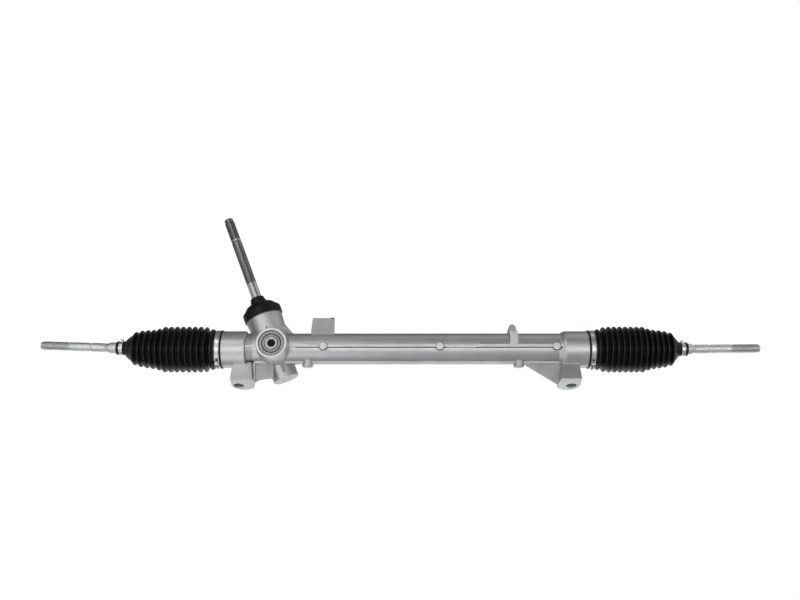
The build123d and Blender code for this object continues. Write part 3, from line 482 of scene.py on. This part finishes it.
def make_plates():
    """Plain flat walls: the gusset, the plate at the left foot, the tab, the lug and the tower's fairing, in
    a darker copy of the cast skin that is painted shade.
    """
    whole = bmesh.new()
    middle = -wall_thickness / 2
    gusset = cut_out([(189.5, -20.0), (189.5, -21.9), (245.6, -57.0), (foot_x, -57.0), (foot_x, -20.0)],
                     wall_thickness, base=middle)
    join(whole, soften(gusset, 0.8, above=40), on_front())
    plate = cut_out([(-foot_x, -20.0), (-foot_x, -57.0), (-245.6, -57.0), (-240.0, -52.3), (-233.8, -49.8),
                     (pinion_x, -47.3), (pinion_x, -20.0)], wall_thickness, base=middle)
    join(whole, soften(plate, 0.8, above=40), on_front())
    tab_corners = [(-153.3, 18.5), (-115.3, 18.5), (-115.3, 49.6), (-150.9, 49.6), (-153.3, 24.0)]
    tab = cut_out(rounded(tab_corners, 1.6), 5.0, base=9.5)
    join(whole, soften(tab, 0.5, above=50), on_front())
    lug = cut_out([(168.4, 20.2), (182.8, 20.2), (182.8, 30.0), (181.7, 35.5),
                   *arc(5.2, 20, 160, 12, (175.6, 36.0)), (169.5, 35.5), (168.4, 30.0)], 13.0, base=-6.5)
    join(whole, soften(lug, 1.0, above=40), on_front())
    fairing_corners = [(0, 19.0), (31.0, 19.0), (31.0, 25.0), (27.5, 28.2), (16.0, 41.5), (0, 41.5)]
    fairing = cut_out(rounded(fairing_corners, 1.2), 18.0, base=-9.0)
    join(whole, soften(fairing, 2.0, 3, above=40), on_front(x=pinion_x, reach=-7.0))
    # The walls' darker skin is painted shade.
    finish_piece("flat_walls", whole, wall_painted_shade, "housing")


def make_pads():
    """Round pads on the front rib, with milled faces."""
    whole = bmesh.new()
    for x in pad_places:
        pad = turned([(18.0, 0), (18.0, 6.9), (27.2, 6.6), (28.1, 5.7), (28.1, 0)], 40)
        join(whole, soften(pad, 0.3, above=30), on_front(x=x))
    finish_piece("rib_pads", whole, pad_face, "housing")


make_housing()
make_plates()
make_waist_shade()
make_front_rib()
make_shade()
make_pads()


# ---- Yoke plug in its boss ----
tooth_count, tooth_middle = 40, (17.8, 0, 46.2)
tooth_size = (4.2, 1.5, 1.6)
hexagon_r, socket_r, foot_r = 11.2, 7.1, 11.9


def six_sided(radius, first, rounding):
    """Hexagon with rounded corners, its first corner at an angle in degrees."""
    corners = [radians(angle) for angle in range(first, first + 360, 60)]
    return rounded([(radius * cos(a), radius * sin(a)) for a in corners], rounding)


def make_plug():
    """Plug with a smooth band and stamped teeth in painted light, on a ring of painted shade; its hexagon is
    made apart.
    """
    whole = bmesh.new()
    body = turned([(34.0, 0), (34.0, 20.5), (45.4, 20.5), (46.2, 20.1), (46.2, 19.9), (45.5, 19.7),
                   (45.5, 15.8), (44.8, 15.3), (44.8, 14.3), (46.6, 13.9), (46.6, 11.4), (45.9, 11.0),
                   (45.9, 0)], 96)
    join(whole, soften(body, 0.15, above=30), on_front(x=pinion_x))
    finish_piece("plug_body", whole, plug_zinc, "housing", ["yoke_plug"])
    teeth = bmesh.new()
    for number in range(tooth_count):
        tooth = bmesh.new()
        bmesh.ops.create_cube(tooth, size=1.0)
        bmesh.ops.scale(tooth, vec=tooth_size, verts=tooth.verts)
        bmesh.ops.translate(tooth, vec=tooth_middle, verts=tooth.verts)
        bmesh.ops.rotate(tooth, cent=(0, 0, 0), verts=tooth.verts,
                         matrix=Matrix.Rotation(2 * pi * number / tooth_count, 3, "Z"))
        join(teeth, soften(tooth, 0.2, 1), on_front(x=pinion_x))
    finish_piece("plug_teeth", teeth, tooth_zinc_painted_light, "housing")
    # Painted shade: dark ring showing between the teeth.
    ground = bmesh.new()
    tooth_shade_ring = turned([(45.0, 16.0), (45.65, 16.0), (45.65, 19.5), (45.0, 19.5)], 96, ring=True)
    join(ground, tooth_shade_ring, on_front(x=pinion_x))
    finish_piece("plug_tooth_painted_shade", ground, spline_steel_and_tooth_shade, "housing")


def make_plug_hexagon():
    """Raised hexagon in the plug's middle, with painted shade round its foot and in its socket."""
    boss = soften(cut_out(six_sided(hexagon_r, 30, 1.6), 1.5, base=45.5), 0.4, 2, above=40)
    whole = bmesh.new()
    join(whole, boss, on_front(x=pinion_x))
    finish_piece("plug_boss", whole, hexagon_zinc, "housing")
    hole = bmesh.new()
    # Painted shade: a thin dark hexagon for the socket, and a wider one under the boss whose rim shows at its
    # foot.
    join(hole, cut_out(six_sided(socket_r, 0, 1.8), 0.12, base=46.95), on_front(x=pinion_x))
    join(hole, cut_out(six_sided(foot_r, 30, 1.6), 0.6, base=45.6), on_front(x=pinion_x))
    finish_piece("plug_hexagon_painted_shade", hole, dark_hole, "housing")


def make_plug_gap():
    """Dark joint round the plug and dark groove inside its teeth."""
    whole = bmesh.new()
    for top, inner, outer in ((46.4, 20.0, 21.0), (45.0, 14.6, 15.3)):
        gap = turned([(44.0, inner), (top, inner), (top, outer), (44.0, outer)], 96, ring=True)
        join(whole, gap, on_front(x=pinion_x))
    finish_piece("plug_gap", whole, dark_hole, "housing")


make_plug()
make_plug_hexagon()
make_plug_gap()


# ---- Pinion shaft and dust cap ----
shaft_r, spline_count, spline_root_r, spline_tip_r = 8.4, 36, 7.3, 8.2
spline_start, spline_length = 209.4, 34.4
pinion_teeth, pinion_pitch_r, pinion_face, pinion_helix = 7, 7.9280, 28.0, radians(28.0)


def make_shaft():
    """Dark shaft above the ground part, with its relief groove, bright collar and tip."""
    whole = bmesh.new()
    shaft = turned([(127.0, 0), (127.0, shaft_r), (205.8, shaft_r), (206.3, 6.7), (208.2, 6.7), (208.4, 7.8),
                    (244.0, 7.8), (245.2, 6.8), (246.6, 7.4), (249.5, 7.4), (250.5, 6.4), (250.5, 0)], 64)
    join(whole, soften(shaft, 0.3, above=40), on_pinion())
    finish_piece("shaft_upper", whole, shaft_steel, "pinion", ["pinion_shaft"])
    ground = bmesh.new()
    teeth_end = pinion_face / 2
    lower = turned([(-40.0, 0), (-40.0, 5.0), (-39.0, 6.0), (-teeth_end, 6.0), (-teeth_end, 5.9),
                    (teeth_end, 5.9), (teeth_end, 10.0), (20.0, 10.0), (20.0, 8.5), (32.05, 8.5),
                    (32.05, 7.7), (33.3, 7.7), (33.3, shaft_r), (127.0, shaft_r), (127.0, 0)], 64)
    join(ground, soften(lower, 0.25, above=40), on_pinion())
    collar = turned([(208.3, 7.0), (208.3, 8.0), (208.8, 8.3), (209.6, 8.3), (209.6, 7.0)], 64, ring=True)
    join(ground, collar, on_pinion())
    finish_piece("shaft_lower", ground, shaft_bright, "pinion")


def toothed(count, tooth, first=0.0):
    """Outline of a toothed wheel, from one tooth's radii and its places as shares of the pitch."""
    outline = []
    for number in range(count):
        middle = 2 * pi * number / count - first
        for radius, turn in tooth:
            angle = middle + turn * 2 * pi / count
            outline.append((radius * cos(angle), radius * sin(angle)))
    return outline


def make_spline():
    """Fine teeth at the shaft's end, chamfered at both ends."""
    tooth = ((spline_root_r, -0.38), (spline_tip_r, -0.16), (spline_tip_r, 0.16), (spline_root_r, 0.38))
    teeth = cut_out(toothed(spline_count, tooth), spline_length, base=spline_start)
    for v in teeth.verts:
        slope = 0.5 if v.co.z > spline_start + spline_length / 2 else -0.4
        v.co.z += (spline_tip_r - Vector(v.co.xy).length) * slope
    whole = bmesh.new()
    join(whole, teeth, on_pinion())
    finish_piece("shaft_spline", whole, spline_steel_and_tooth_shade, "pinion", sharp=20)


def make_pinion_teeth():
    """Helical teeth that mesh with the rack."""
    steps = 24
    tooth = ((5.9, -0.40), (6.9, -0.33), (7.9, -0.245), (9.0, -0.165), (10.0, -0.085),
             (10.0, 0.085), (9.0, 0.165), (7.9, 0.245), (6.9, 0.33), (5.9, 0.40))
    half_face = pinion_face / 2
    half_twist = half_face * (sin(pinion_helix) / cos(pinion_helix)) / pinion_pitch_r
    form = bmesh.new()
    corners = [form.verts.new((x, y, -half_face)) for x, y in toothed(pinion_teeth, tooth, first=pi / 2)]
    spun = [form.faces.new(corners)]
    bmesh.ops.rotate(form, cent=(0, 0, 0), matrix=Matrix.Rotation(-half_twist, 3, "Z"), verts=form.verts)
    step_turn = Matrix.Rotation(2 * half_twist / steps, 3, "Z")
    for _ in range(steps):
        grown = bmesh.ops.extrude_face_region(form, geom=spun)["geom"]
        spun = [f for f in grown if isinstance(f, bmesh.types.BMFace)]
        moved = [v for v in grown if isinstance(v, bmesh.types.BMVert)]
        bmesh.ops.translate(form, vec=(0, 0, pinion_face / steps), verts=moved)
        bmesh.ops.rotate(form, cent=(0, 0, 0), matrix=step_turn, verts=moved)
    inner = [f for f in form.faces
             if len(f.verts) > 20 and abs(abs(f.calc_center_median().z) - half_face) > 1e-3]
    bmesh.ops.delete(form, geom=inner, context="FACES_ONLY")
    whole = bmesh.new()
    join(whole, tidy(form), on_pinion())
    finish_piece("pinion_teeth", whole, rack_steel, "pinion", sharp=30)


def make_cap():
    """Rubber cap: lipped rim, sloping shoulder and a ribbed neck round the shaft."""
    whole = bmesh.new()
    cap = turned([(62.5, 30.2), (62.5, 32.5), (65.6, 32.5), (66.5, 31.8), (67.4, 32.5), (74.8, 32.4),
                  (76.5, 31.2), (77.8, 28.4), (79.8, 27.8), (81.2, 25.2), (83.6, 24.4), (85.8, 21.6),
                  (87.2, 13.6), (90.2, 12.6), (91.3, 13.2), (93.2, 13.2), (94.5, 11.4), (96.2, 12.0),
                  (98.4, 11.6), (99.5, 10.4), (99.5, 8.48), (84.6, 8.48), (84.6, 21.0), (74.2, 28.8),
                  (68.4, 29.9)], 112, ring=True)
    join(whole, soften(cap, 0.35, 2, above=35), on_pinion())
    finish_piece("cap_rubber_cover", whole, cap_rubber, "housing", ["dust_cap"])


make_shaft()
make_spline()
make_pinion_teeth()
make_cap()


# ---- Tie rods, measured outwards from the ball's centre ----
ball_r, rod_r, swell_r, plain_r, flat_half = 12.5, 6.5, 8.9, 7.1, 6.6
thread_start, thread_end, thread_pitch = 158.2, 200.9, 1.5
thread_root_r, thread_crest_r = 6.05, 6.98


def make_thread(side):
    """Rolled thread: one ridge wound along the rod, on a plain core."""
    steps = 28
    turns = int((thread_end - thread_start) / thread_pitch) - 1
    ridge = ((0.0, thread_root_r), (0.62, thread_crest_r), (0.88, thread_crest_r),
             (thread_pitch, thread_root_r))
    form = bmesh.new()
    points = [form.verts.new((radius, 0, thread_start + height)) for height, radius in ridge]
    edges = [form.edges.new(pair) for pair in zip(points, points[1:])]
    bmesh.ops.spin(form, geom=points + edges, cent=(0, 0, 0), axis=(0, 0, 1),
                   dvec=(0, 0, thread_pitch / steps), angle=2 * pi * turns, steps=steps * turns,
                   use_merge=False)
    bmesh.ops.remove_doubles(form, verts=form.verts, dist=1e-4)
    bmesh.ops.recalc_face_normals(form, faces=form.faces)
    core = turned([(155.6, 0), (155.6, 6.2), (thread_start - 1.4, 6.2), (thread_start - 1.0, 6.9),
                   (thread_start + 0.6, 6.06), (thread_end + 0.2, 6.06), (thread_end + 1.6, 5.3),
                   (thread_end + 1.6, 0)], 56)
    whole = bmesh.new()
    join(whole, form, on_rod(side))
    join(whole, core, on_rod(side))
    return whole


def make_rod(side, name):
    """Ball, neck, swell, step and wrench flats of one tie rod."""
    whole = bmesh.new()
    globe = bmesh.new()
    bmesh.ops.create_uvsphere(globe, u_segments=48, v_segments=32, radius=ball_r)
    join(whole, globe, on_rod(side))
    bar = turned([(9.0, 0), (9.0, 7.2), (22.0, rod_r), (52.0, rod_r), (60.0, swell_r), (88.0, swell_r),
                  (95.4, 6.3), (96.6, 6.3), (97.4, plain_r), (119.2, plain_r), (120.4, 6.0), (121.6, 6.0),
                  (122.8, 6.8), (123.4, 7.0), (127.0, 7.0), (127.0, 0)], 56)
    join(whole, soften(bar, 0.3, above=25), on_rod(side))
    flats = turned([(123.4, 0), (123.4, 7.0), (155.0, 7.0), (155.7, 6.5), (155.7, 0)], 72)
    for turn in (-1, 1):
        everything = flats.verts[:] + flats.edges[:] + flats.faces[:]
        cut = bmesh.ops.bisect_plane(flats, geom=everything, dist=1e-4, plane_co=(0, turn * flat_half, 0),
                                     plane_no=(0, turn, 0), clear_outer=True)
        rim = [e for e in cut["geom_cut"] if isinstance(e, bmesh.types.BMEdge)]
        bmesh.ops.holes_fill(flats, edges=rim)
    join(whole, soften(tidy(flats), 0.15, above=25), on_rod(side))
    finish_piece(f"{name}_rod", whole, rod_zinc, f"{name}_rod", [f"{name}_tie_rod"])
    thread = make_thread(side)
    finish_piece(f"{name}_rod_thread", thread, thread_steel, f"{name}_rod", sharp=50)


# ---- Boots ----
crests = (33.4, 36.6, 37.4, 37.5, 37.5, 37.5, 37.4, 37.3, 37.2, 34.2, 32.2, 31.2, 29.8, 27.2)
first_crest, crest_half_width, pleat_depth, boot_wall = 314.0, 0.9, 6.0, 1.8
nose_length, nose_shift, cone_end = 15.3, 1.6, 4.0
shoulder_past_ball, nose_past_ball, bend_length = 36.0, 54.0, 44.0


def boot_nose(side):
    """Where the cone on a boot's nose meets its small cuff."""
    return boot_nose_reach + boot_rest * side


def boot_outer(side):
    """Outer profile of the pleats from the housing's end to the nose."""
    nose = boot_nose(side)
    pitch = (nose - nose_length + nose_shift * side - first_crest) / (len(crests) - 1)
    points = [(housing_end, 30.2), (first_crest - pitch * 0.5, 30.4)]
    for number, crest in enumerate(crests):
        here = first_crest + number * pitch
        points.append((here - crest_half_width, crest))
        points.append((here + crest_half_width, crest))
        if number < len(crests) - 1:
            valley = min(crest, crests[number + 1]) - pleat_depth
            points.append((here + pitch * 0.5 - 0.5, valley))
            points.append((here + pitch * 0.5 + 0.5, valley))
    last = first_crest + (len(crests) - 1) * pitch
    points += [(last + 4.2, 22.6), (nose - cone_end, 16.2)]
    return points


def cut_profile(points, low, high):
    """The part of a profile between two stations."""
    kept = []
    for (z0, r0), (z1, r1) in zip(points, points[1:]):
        for edge in (low, high):
            if z0 < edge < z1:
                kept.append((edge, r0 + (r1 - r0) * (edge - z0) / (z1 - z0)))
        if low <= z1 <= high:
            kept.append((z1, r1))
    if low <= points[0][0]:
        kept.insert(0, points[0])
    return sorted(set(kept))


def pleated(points, wall):
    """Closed wall that follows a profile, rounded at its pleats."""
    form = turned(points + [(z, r - wall) for z, r in reversed(points)], 120, ring=True)
    low, high = points[0][0] + 0.01, points[-1][0] - 0.01

    def between_seams(edge):
        return all(low < v.co.z < high for v in edge.verts)

    return soften(form, 0.85, 3, above=18, keep=between_seams)


def make_boot(side, name):
    """Boot in three spans and two cuffs, so that it follows the rack, the ball seat and the rod."""
    ball, nose, outer = ball_x(side), boot_nose(side), boot_outer(side)
    shoulder, cone = ball + shoulder_past_ball, ball + nose_past_ball
    spans = (("pleats", housing_end, shoulder, "housing", "rack", housing_end - 2.0, shoulder),
             ("shoulder", shoulder, cone, "rack", f"{name}_seat", shoulder, cone),
             ("nose", cone, nose - cone_end, f"{name}_seat", f"{name}_rod", cone, nose - cone_end))
    for part, low, high, body_a, body_b, start, end in spans:
        whole = bmesh.new()
        join(whole, pleated(cut_profile(outer, low, high), boot_wall), on_rack(side))
        bend(whole, side, ball, ball + bend_length)
        nodes = [f"{name}_boot"] if part == "pleats" else []
        piece = finish_piece(f"{name}_boot_{part}", whole, boot_rubber, None, nodes, sharp=60)
        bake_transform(piece)
    cuff = bmesh.new()
    wide = turned([(neck_start, neck_r), (neck_start, 31.0), (neck_start + 0.6, 31.5),
                   (neck_start + 1.8, 31.4), (neck_start + 2.3, 30.1), (housing_end, 30.1),
                   (housing_end, neck_r)], 96, ring=True)
    join(cuff, soften(wide, 0.3, 2), on_rack(side))
    finish_piece(f"{name}_boot_cuff", cuff, boot_rubber, "housing")
    tip = bmesh.new()
    collar = turned([(nose - cone_end, 10.6), (nose - cone_end, 16.2), (nose - 0.8, 12.3), (nose + 1.0, 11.6),
                     (nose + 3.4, 10.9), (nose + 4.2, 10.5), (nose + 5.0, 10.4), (nose + 10.6, 10.4),
                     (nose + 11.2, 11.2), (nose + 13.4, 11.2), (nose + 14.4, 10.2), (nose + 14.4, 9.2),
                     (nose + 1.0, 9.2)], 80, ring=True)
    join(tip, soften(collar, 0.3, 2), on_rack(side))
    bend(tip, side, ball, ball + bend_length)
    finish_piece(f"{name}_boot_tip", tip, boot_rubber, f"{name}_rod")


# ---- Clamps ----
clamp_low, clamp_high, clamp_in_r, clamp_edge_r, clamp_bead_r = 299.3, 307.1, 30.4, 31.0, 31.5
ear_angle, tang_angle, ring_in_r, ring_half = 62.0, -70.0, 10.6, 3.0


def make_wide_clamp(side, name):
    """Wide beaded band with a crimped ear, and the dark slots in both."""
    whole = bmesh.new()
    low, high = clamp_low, clamp_high
    band = turned([(low, clamp_in_r), (low, clamp_edge_r), (low + 0.5, clamp_bead_r),
                   (low + 1.2, clamp_bead_r), (low + 1.7, clamp_edge_r), (high - 1.7, clamp_edge_r),
                   (high - 1.2, clamp_bead_r), (high - 0.5, clamp_bead_r), (high, clamp_edge_r),
                   (high, clamp_in_r)], 96, ring=True)
    join(whole, band, on_rack(side))
    at_ear = on_rack(side) @ Matrix.Rotation(side * radians(ear_angle), 4, "Z")
    ear_corners = [(30.8, -4.4), (30.8, 4.4), (33.0, 3.9), (34.9, 2.8), (34.9, -2.8), (33.0, -3.9)]
    ear = cut_out(rounded(ear_corners, 0.5, 2), 6.8, base=low + 0.5)
    join(whole, soften(ear, 0.3, 1), at_ear)
    slots = bmesh.new()
    for shift in (-9.0, 8.0, 12.0):
        slot = cut_out([(31.0, shift - 1.2), (31.0, shift + 1.2), (31.75, shift + 1.1), (31.75, shift - 1.1)],
                       3.4, base=low + 1.9)
        join(slots, slot, at_ear)
    for edge in (-1, 1):
        groove = cut_out([(34.0, edge - 0.5), (34.0, edge + 0.5), (35.05, edge + 0.5), (35.05, edge - 0.5)],
                         5.0, base=low + 1.4)
        join(slots, groove, at_ear)
    finish_piece(f"{name}_clamp_slots", slots, shade, "housing")
    nodes = [f"{name}_boot_clamp"]
    finish_piece(f"{name}_wide_clamp", whole, clamp_steel, "housing", nodes)


def make_narrow_clamp(side, name):
    """Narrow band with two tangs, on the boot's nose."""
    whole = bmesh.new()
    middle = rod_clamp_reach + boot_rest * side
    low, high = middle - ring_half, middle + ring_half
    ring = turned([(low, ring_in_r), (low, 11.3), (middle - 2.5, 11.6), (middle + 2.5, 11.6), (high, 11.3),
                   (high, ring_in_r)], 72, ring=True)
    join(whole, ring, on_rack(side))
    at_tangs = on_rack(side) @ Matrix.Rotation(side * radians(tang_angle), 4, "Z")
    for turn in (-1, 1):
        tang = cut_out([(11.2, turn * 1.0), (14.6, turn * 1.4), (14.6, turn * 2.6), (11.0, turn * 3.6)],
                       4.6, base=middle - 2.3)
        join(whole, tang, at_tangs)
    bend(whole, side, ball_x(side), ball_x(side) + bend_length)
    nodes = [f"{name}_rod_clamp"]
    finish_piece(f"{name}_narrow_clamp", whole, clamp_steel, f"{name}_rod", nodes)


for side, name in ((-1, "left"), (1, "right")):
    make_rod(side, name)
    make_boot(side, name)
    make_wide_clamp(side, name)
    make_narrow_clamp(side, name)

# ---- Finishes of the solids that stay ----
inside = {
    "rack_bar": rack_steel, "rack_bush": bush_plastic, "yoke": machined, "yoke_liner": bush_plastic,
    "yoke_disc_springs": spring_steel, "yoke_o_ring": cap_rubber, "bearing_inner_ring": bearing_steel,
    "bearing_outer_ring": bearing_steel, "bearing_circlip": spring_steel, "bearing_lock_nut": plug_zinc,
    "pinion_seal": cap_rubber, "lower_bearing": bearing_steel,
    "left_stop_washer": bush_plastic, "right_stop_washer": bush_plastic,
    "left_socket": rod_zinc, "right_socket": rod_zinc,
    "left_ball_seat": bush_plastic, "right_ball_seat": bush_plastic,
}
for node, skin in inside.items():
    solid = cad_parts[node]
    solid.data.materials.clear()
    solid.data.materials.append(skin)

# ---- Floor and backdrop, in metres ----
floor_z, floor_half = -1.00, 12.0
floor_seen, floor_mirrored = 0.62, 0.04


def wire(tree, *pairs):
    """Links outputs to inputs, each pair given as node, output, node, input."""
    for node, output, goal, entry in pairs:
        tree.links.new(node.outputs[output], goal.inputs[entry])


def make_paper():
    """Pale floor: its own shading keeps the shadow, and a glow adds to what camera and metal see of it."""
    paper = bpy.data.materials.new("floor_paper")
    paper.use_nodes = True
    tree = paper.node_tree
    shader = tree.nodes["Principled BSDF"]
    shader.inputs["Base Color"].default_value = (0.8, 0.8, 0.8, 1)
    shader.inputs["Roughness"].default_value = 0.9
    seen, glow = tree.nodes.new("ShaderNodeLightPath"), tree.nodes.new("ShaderNodeEmission")
    sheet = tree.nodes.new("ShaderNodeAddShader")
    faint, pale = tree.nodes.new("ShaderNodeMath"), tree.nodes.new("ShaderNodeMath")
    faint.operation, pale.operation = "MULTIPLY", "MULTIPLY_ADD"
    faint.inputs[1].default_value = floor_mirrored
    pale.inputs[1].default_value = floor_seen
    wire(tree, (seen, "Is Glossy Ray", faint, 0), (seen, "Is Camera Ray", pale, 0), (faint, "Value", pale, 2),
         (pale, "Value", glow, "Strength"), (shader, "BSDF", sheet, 0), (glow, "Emission", sheet, 1),
         (sheet, "Shader", tree.nodes["Material Output"], "Surface"))
    return paper


def make_floor():
    """Plain sheet well below the part."""
    mesh = bpy.data.meshes.new("floor")
    form = bmesh.new()
    bmesh.ops.create_grid(form, x_segments=1, y_segments=1, size=floor_half)
    bmesh.ops.translate(form, vec=(0, 0, floor_z), verts=form.verts)
    form.to_mesh(mesh)
    form.free()
    floor = bpy.data.objects.new("floor", mesh)
    scene.collection.objects.link(floor)
    mesh.materials.append(make_paper())


def ramp(node, start, end, low, high):
    """Sets what a map range turns into what."""
    node.inputs["From Min"].default_value = start
    node.inputs["From Max"].default_value = end
    node.inputs["To Min"].default_value = low
    node.inputs["To Max"].default_value = high


def make_backdrop():
    """White to the camera, and a studio that is dimmer above and at the far left in reflections."""
    world = bpy.data.worlds.new("studio")
    scene.world = world
    world.use_nodes = True
    tree = world.node_tree
    tree.nodes.clear()
    out = tree.nodes.new("ShaderNodeOutputWorld")
    shown, lit = tree.nodes.new("ShaderNodeBackground"), tree.nodes.new("ShaderNodeBackground")
    choose, path = tree.nodes.new("ShaderNodeMixShader"), tree.nodes.new("ShaderNodeLightPath")
    shown.inputs["Color"].default_value = (1, 1, 1, 1)
    direction, parts = tree.nodes.new("ShaderNodeTexCoord"), tree.nodes.new("ShaderNodeSeparateXYZ")
    height, across, back, base = [tree.nodes.new("ShaderNodeMapRange") for _ in range(4)]
    both, total, mirrored, part = [tree.nodes.new("ShaderNodeMath") for _ in range(4)]
    both.operation, total.operation, mirrored.operation, part.operation = "MULTIPLY", "ADD", "MULTIPLY", "ADD"
    part.use_clamp = True
    ramp(height, -0.10, 0.35, 1.0, 0.0)
    ramp(across, -0.95, -0.45, 0.32, 1.0)
    ramp(back, 0.30, 0.85, 0.0, 0.34)
    ramp(base, 0.0, 1.0, 0.24, 0.12)
    wire(tree, (direction, "Generated", parts, "Vector"), (parts, "Z", height, "Value"),
         (parts, "X", across, "Value"), (parts, "Y", back, "Value"), (height, "Result", both, 0),
         (across, "Result", both, 1), (both, "Value", total, 0), (back, "Result", total, 1),
         (total, "Value", mirrored, 0), (path, "Is Glossy Ray", mirrored, 1),
         (path, "Is Camera Ray", part, 0), (mirrored, "Value", part, 1),
         (path, "Is Glossy Ray", base, "Value"), (base, "Result", lit, "Strength"),
         (part, "Value", choose, "Fac"), (lit, "Background", choose, 1), (shown, "Background", choose, 2),
         (choose, "Shader", out, "Surface"))


make_floor()
make_backdrop()


# ---- Lamps and camera ----
def lamp(name, spot, aim, size, power):
    """One soft rectangular light, in metres and watts."""
    data = bpy.data.lights.new(name, "AREA")
    data.shape = "RECTANGLE"
    data.size, data.size_y = size
    data.energy = power
    light = bpy.data.objects.new(name, data)
    scene.collection.objects.link(light)
    light.location = spot
    light.rotation_euler = (Vector(aim) - Vector(spot)).to_track_quat("-Z", "Y").to_euler()


lamp("front_softbox", (-0.1, -1.95, -0.70), (0, 0, 0.05), (4.5, 0.45), 19.5)
lamp("left_softbox", (-0.70, -1.6, 0.80), (-0.27, 0, 0.02), (0.5, 0.5), 3)
lamp("right_softbox", (1.4, -0.4, 1.1), (-0.2, 0, 0.15), (1.8, 1.8), 4)
lamp("low_left_softbox", (-0.42, -0.25, -0.72), (-0.27, 0, 0.03), (0.5, 0.5), 0.9)
lamp("low_back_softbox", (0.05, 1.1, -0.5), (0, 0, 0), (2.3, 0.4), 4.4)
lamp("top_softbox", (0.2, -0.6, 1.7), (0, 0, 0.05), (1.6, 0.8), 2.0)

view_distance, view_rise, camera_pitch, camera_x = 1.500, 24.9, 3.10, -0.0083


def make_camera():
    """Camera in front of the rack and below it, looking up."""
    camera = bpy.data.objects.new("camera", bpy.data.cameras.new("camera"))
    scene.collection.objects.link(camera)
    scene.camera = camera
    camera.data.sensor_width = 36.0
    camera.data.lens = 41.2
    back, down = view_distance * cos(radians(view_rise)), view_distance * sin(radians(view_rise))
    camera.location = (camera_x, -rack_forward / 1000 - back, rack_height / 1000 - down)
    camera.rotation_euler = (radians(90.0 + view_rise + camera_pitch), 0, 0)


make_camera()
scene.view_settings.view_transform = "Standard"
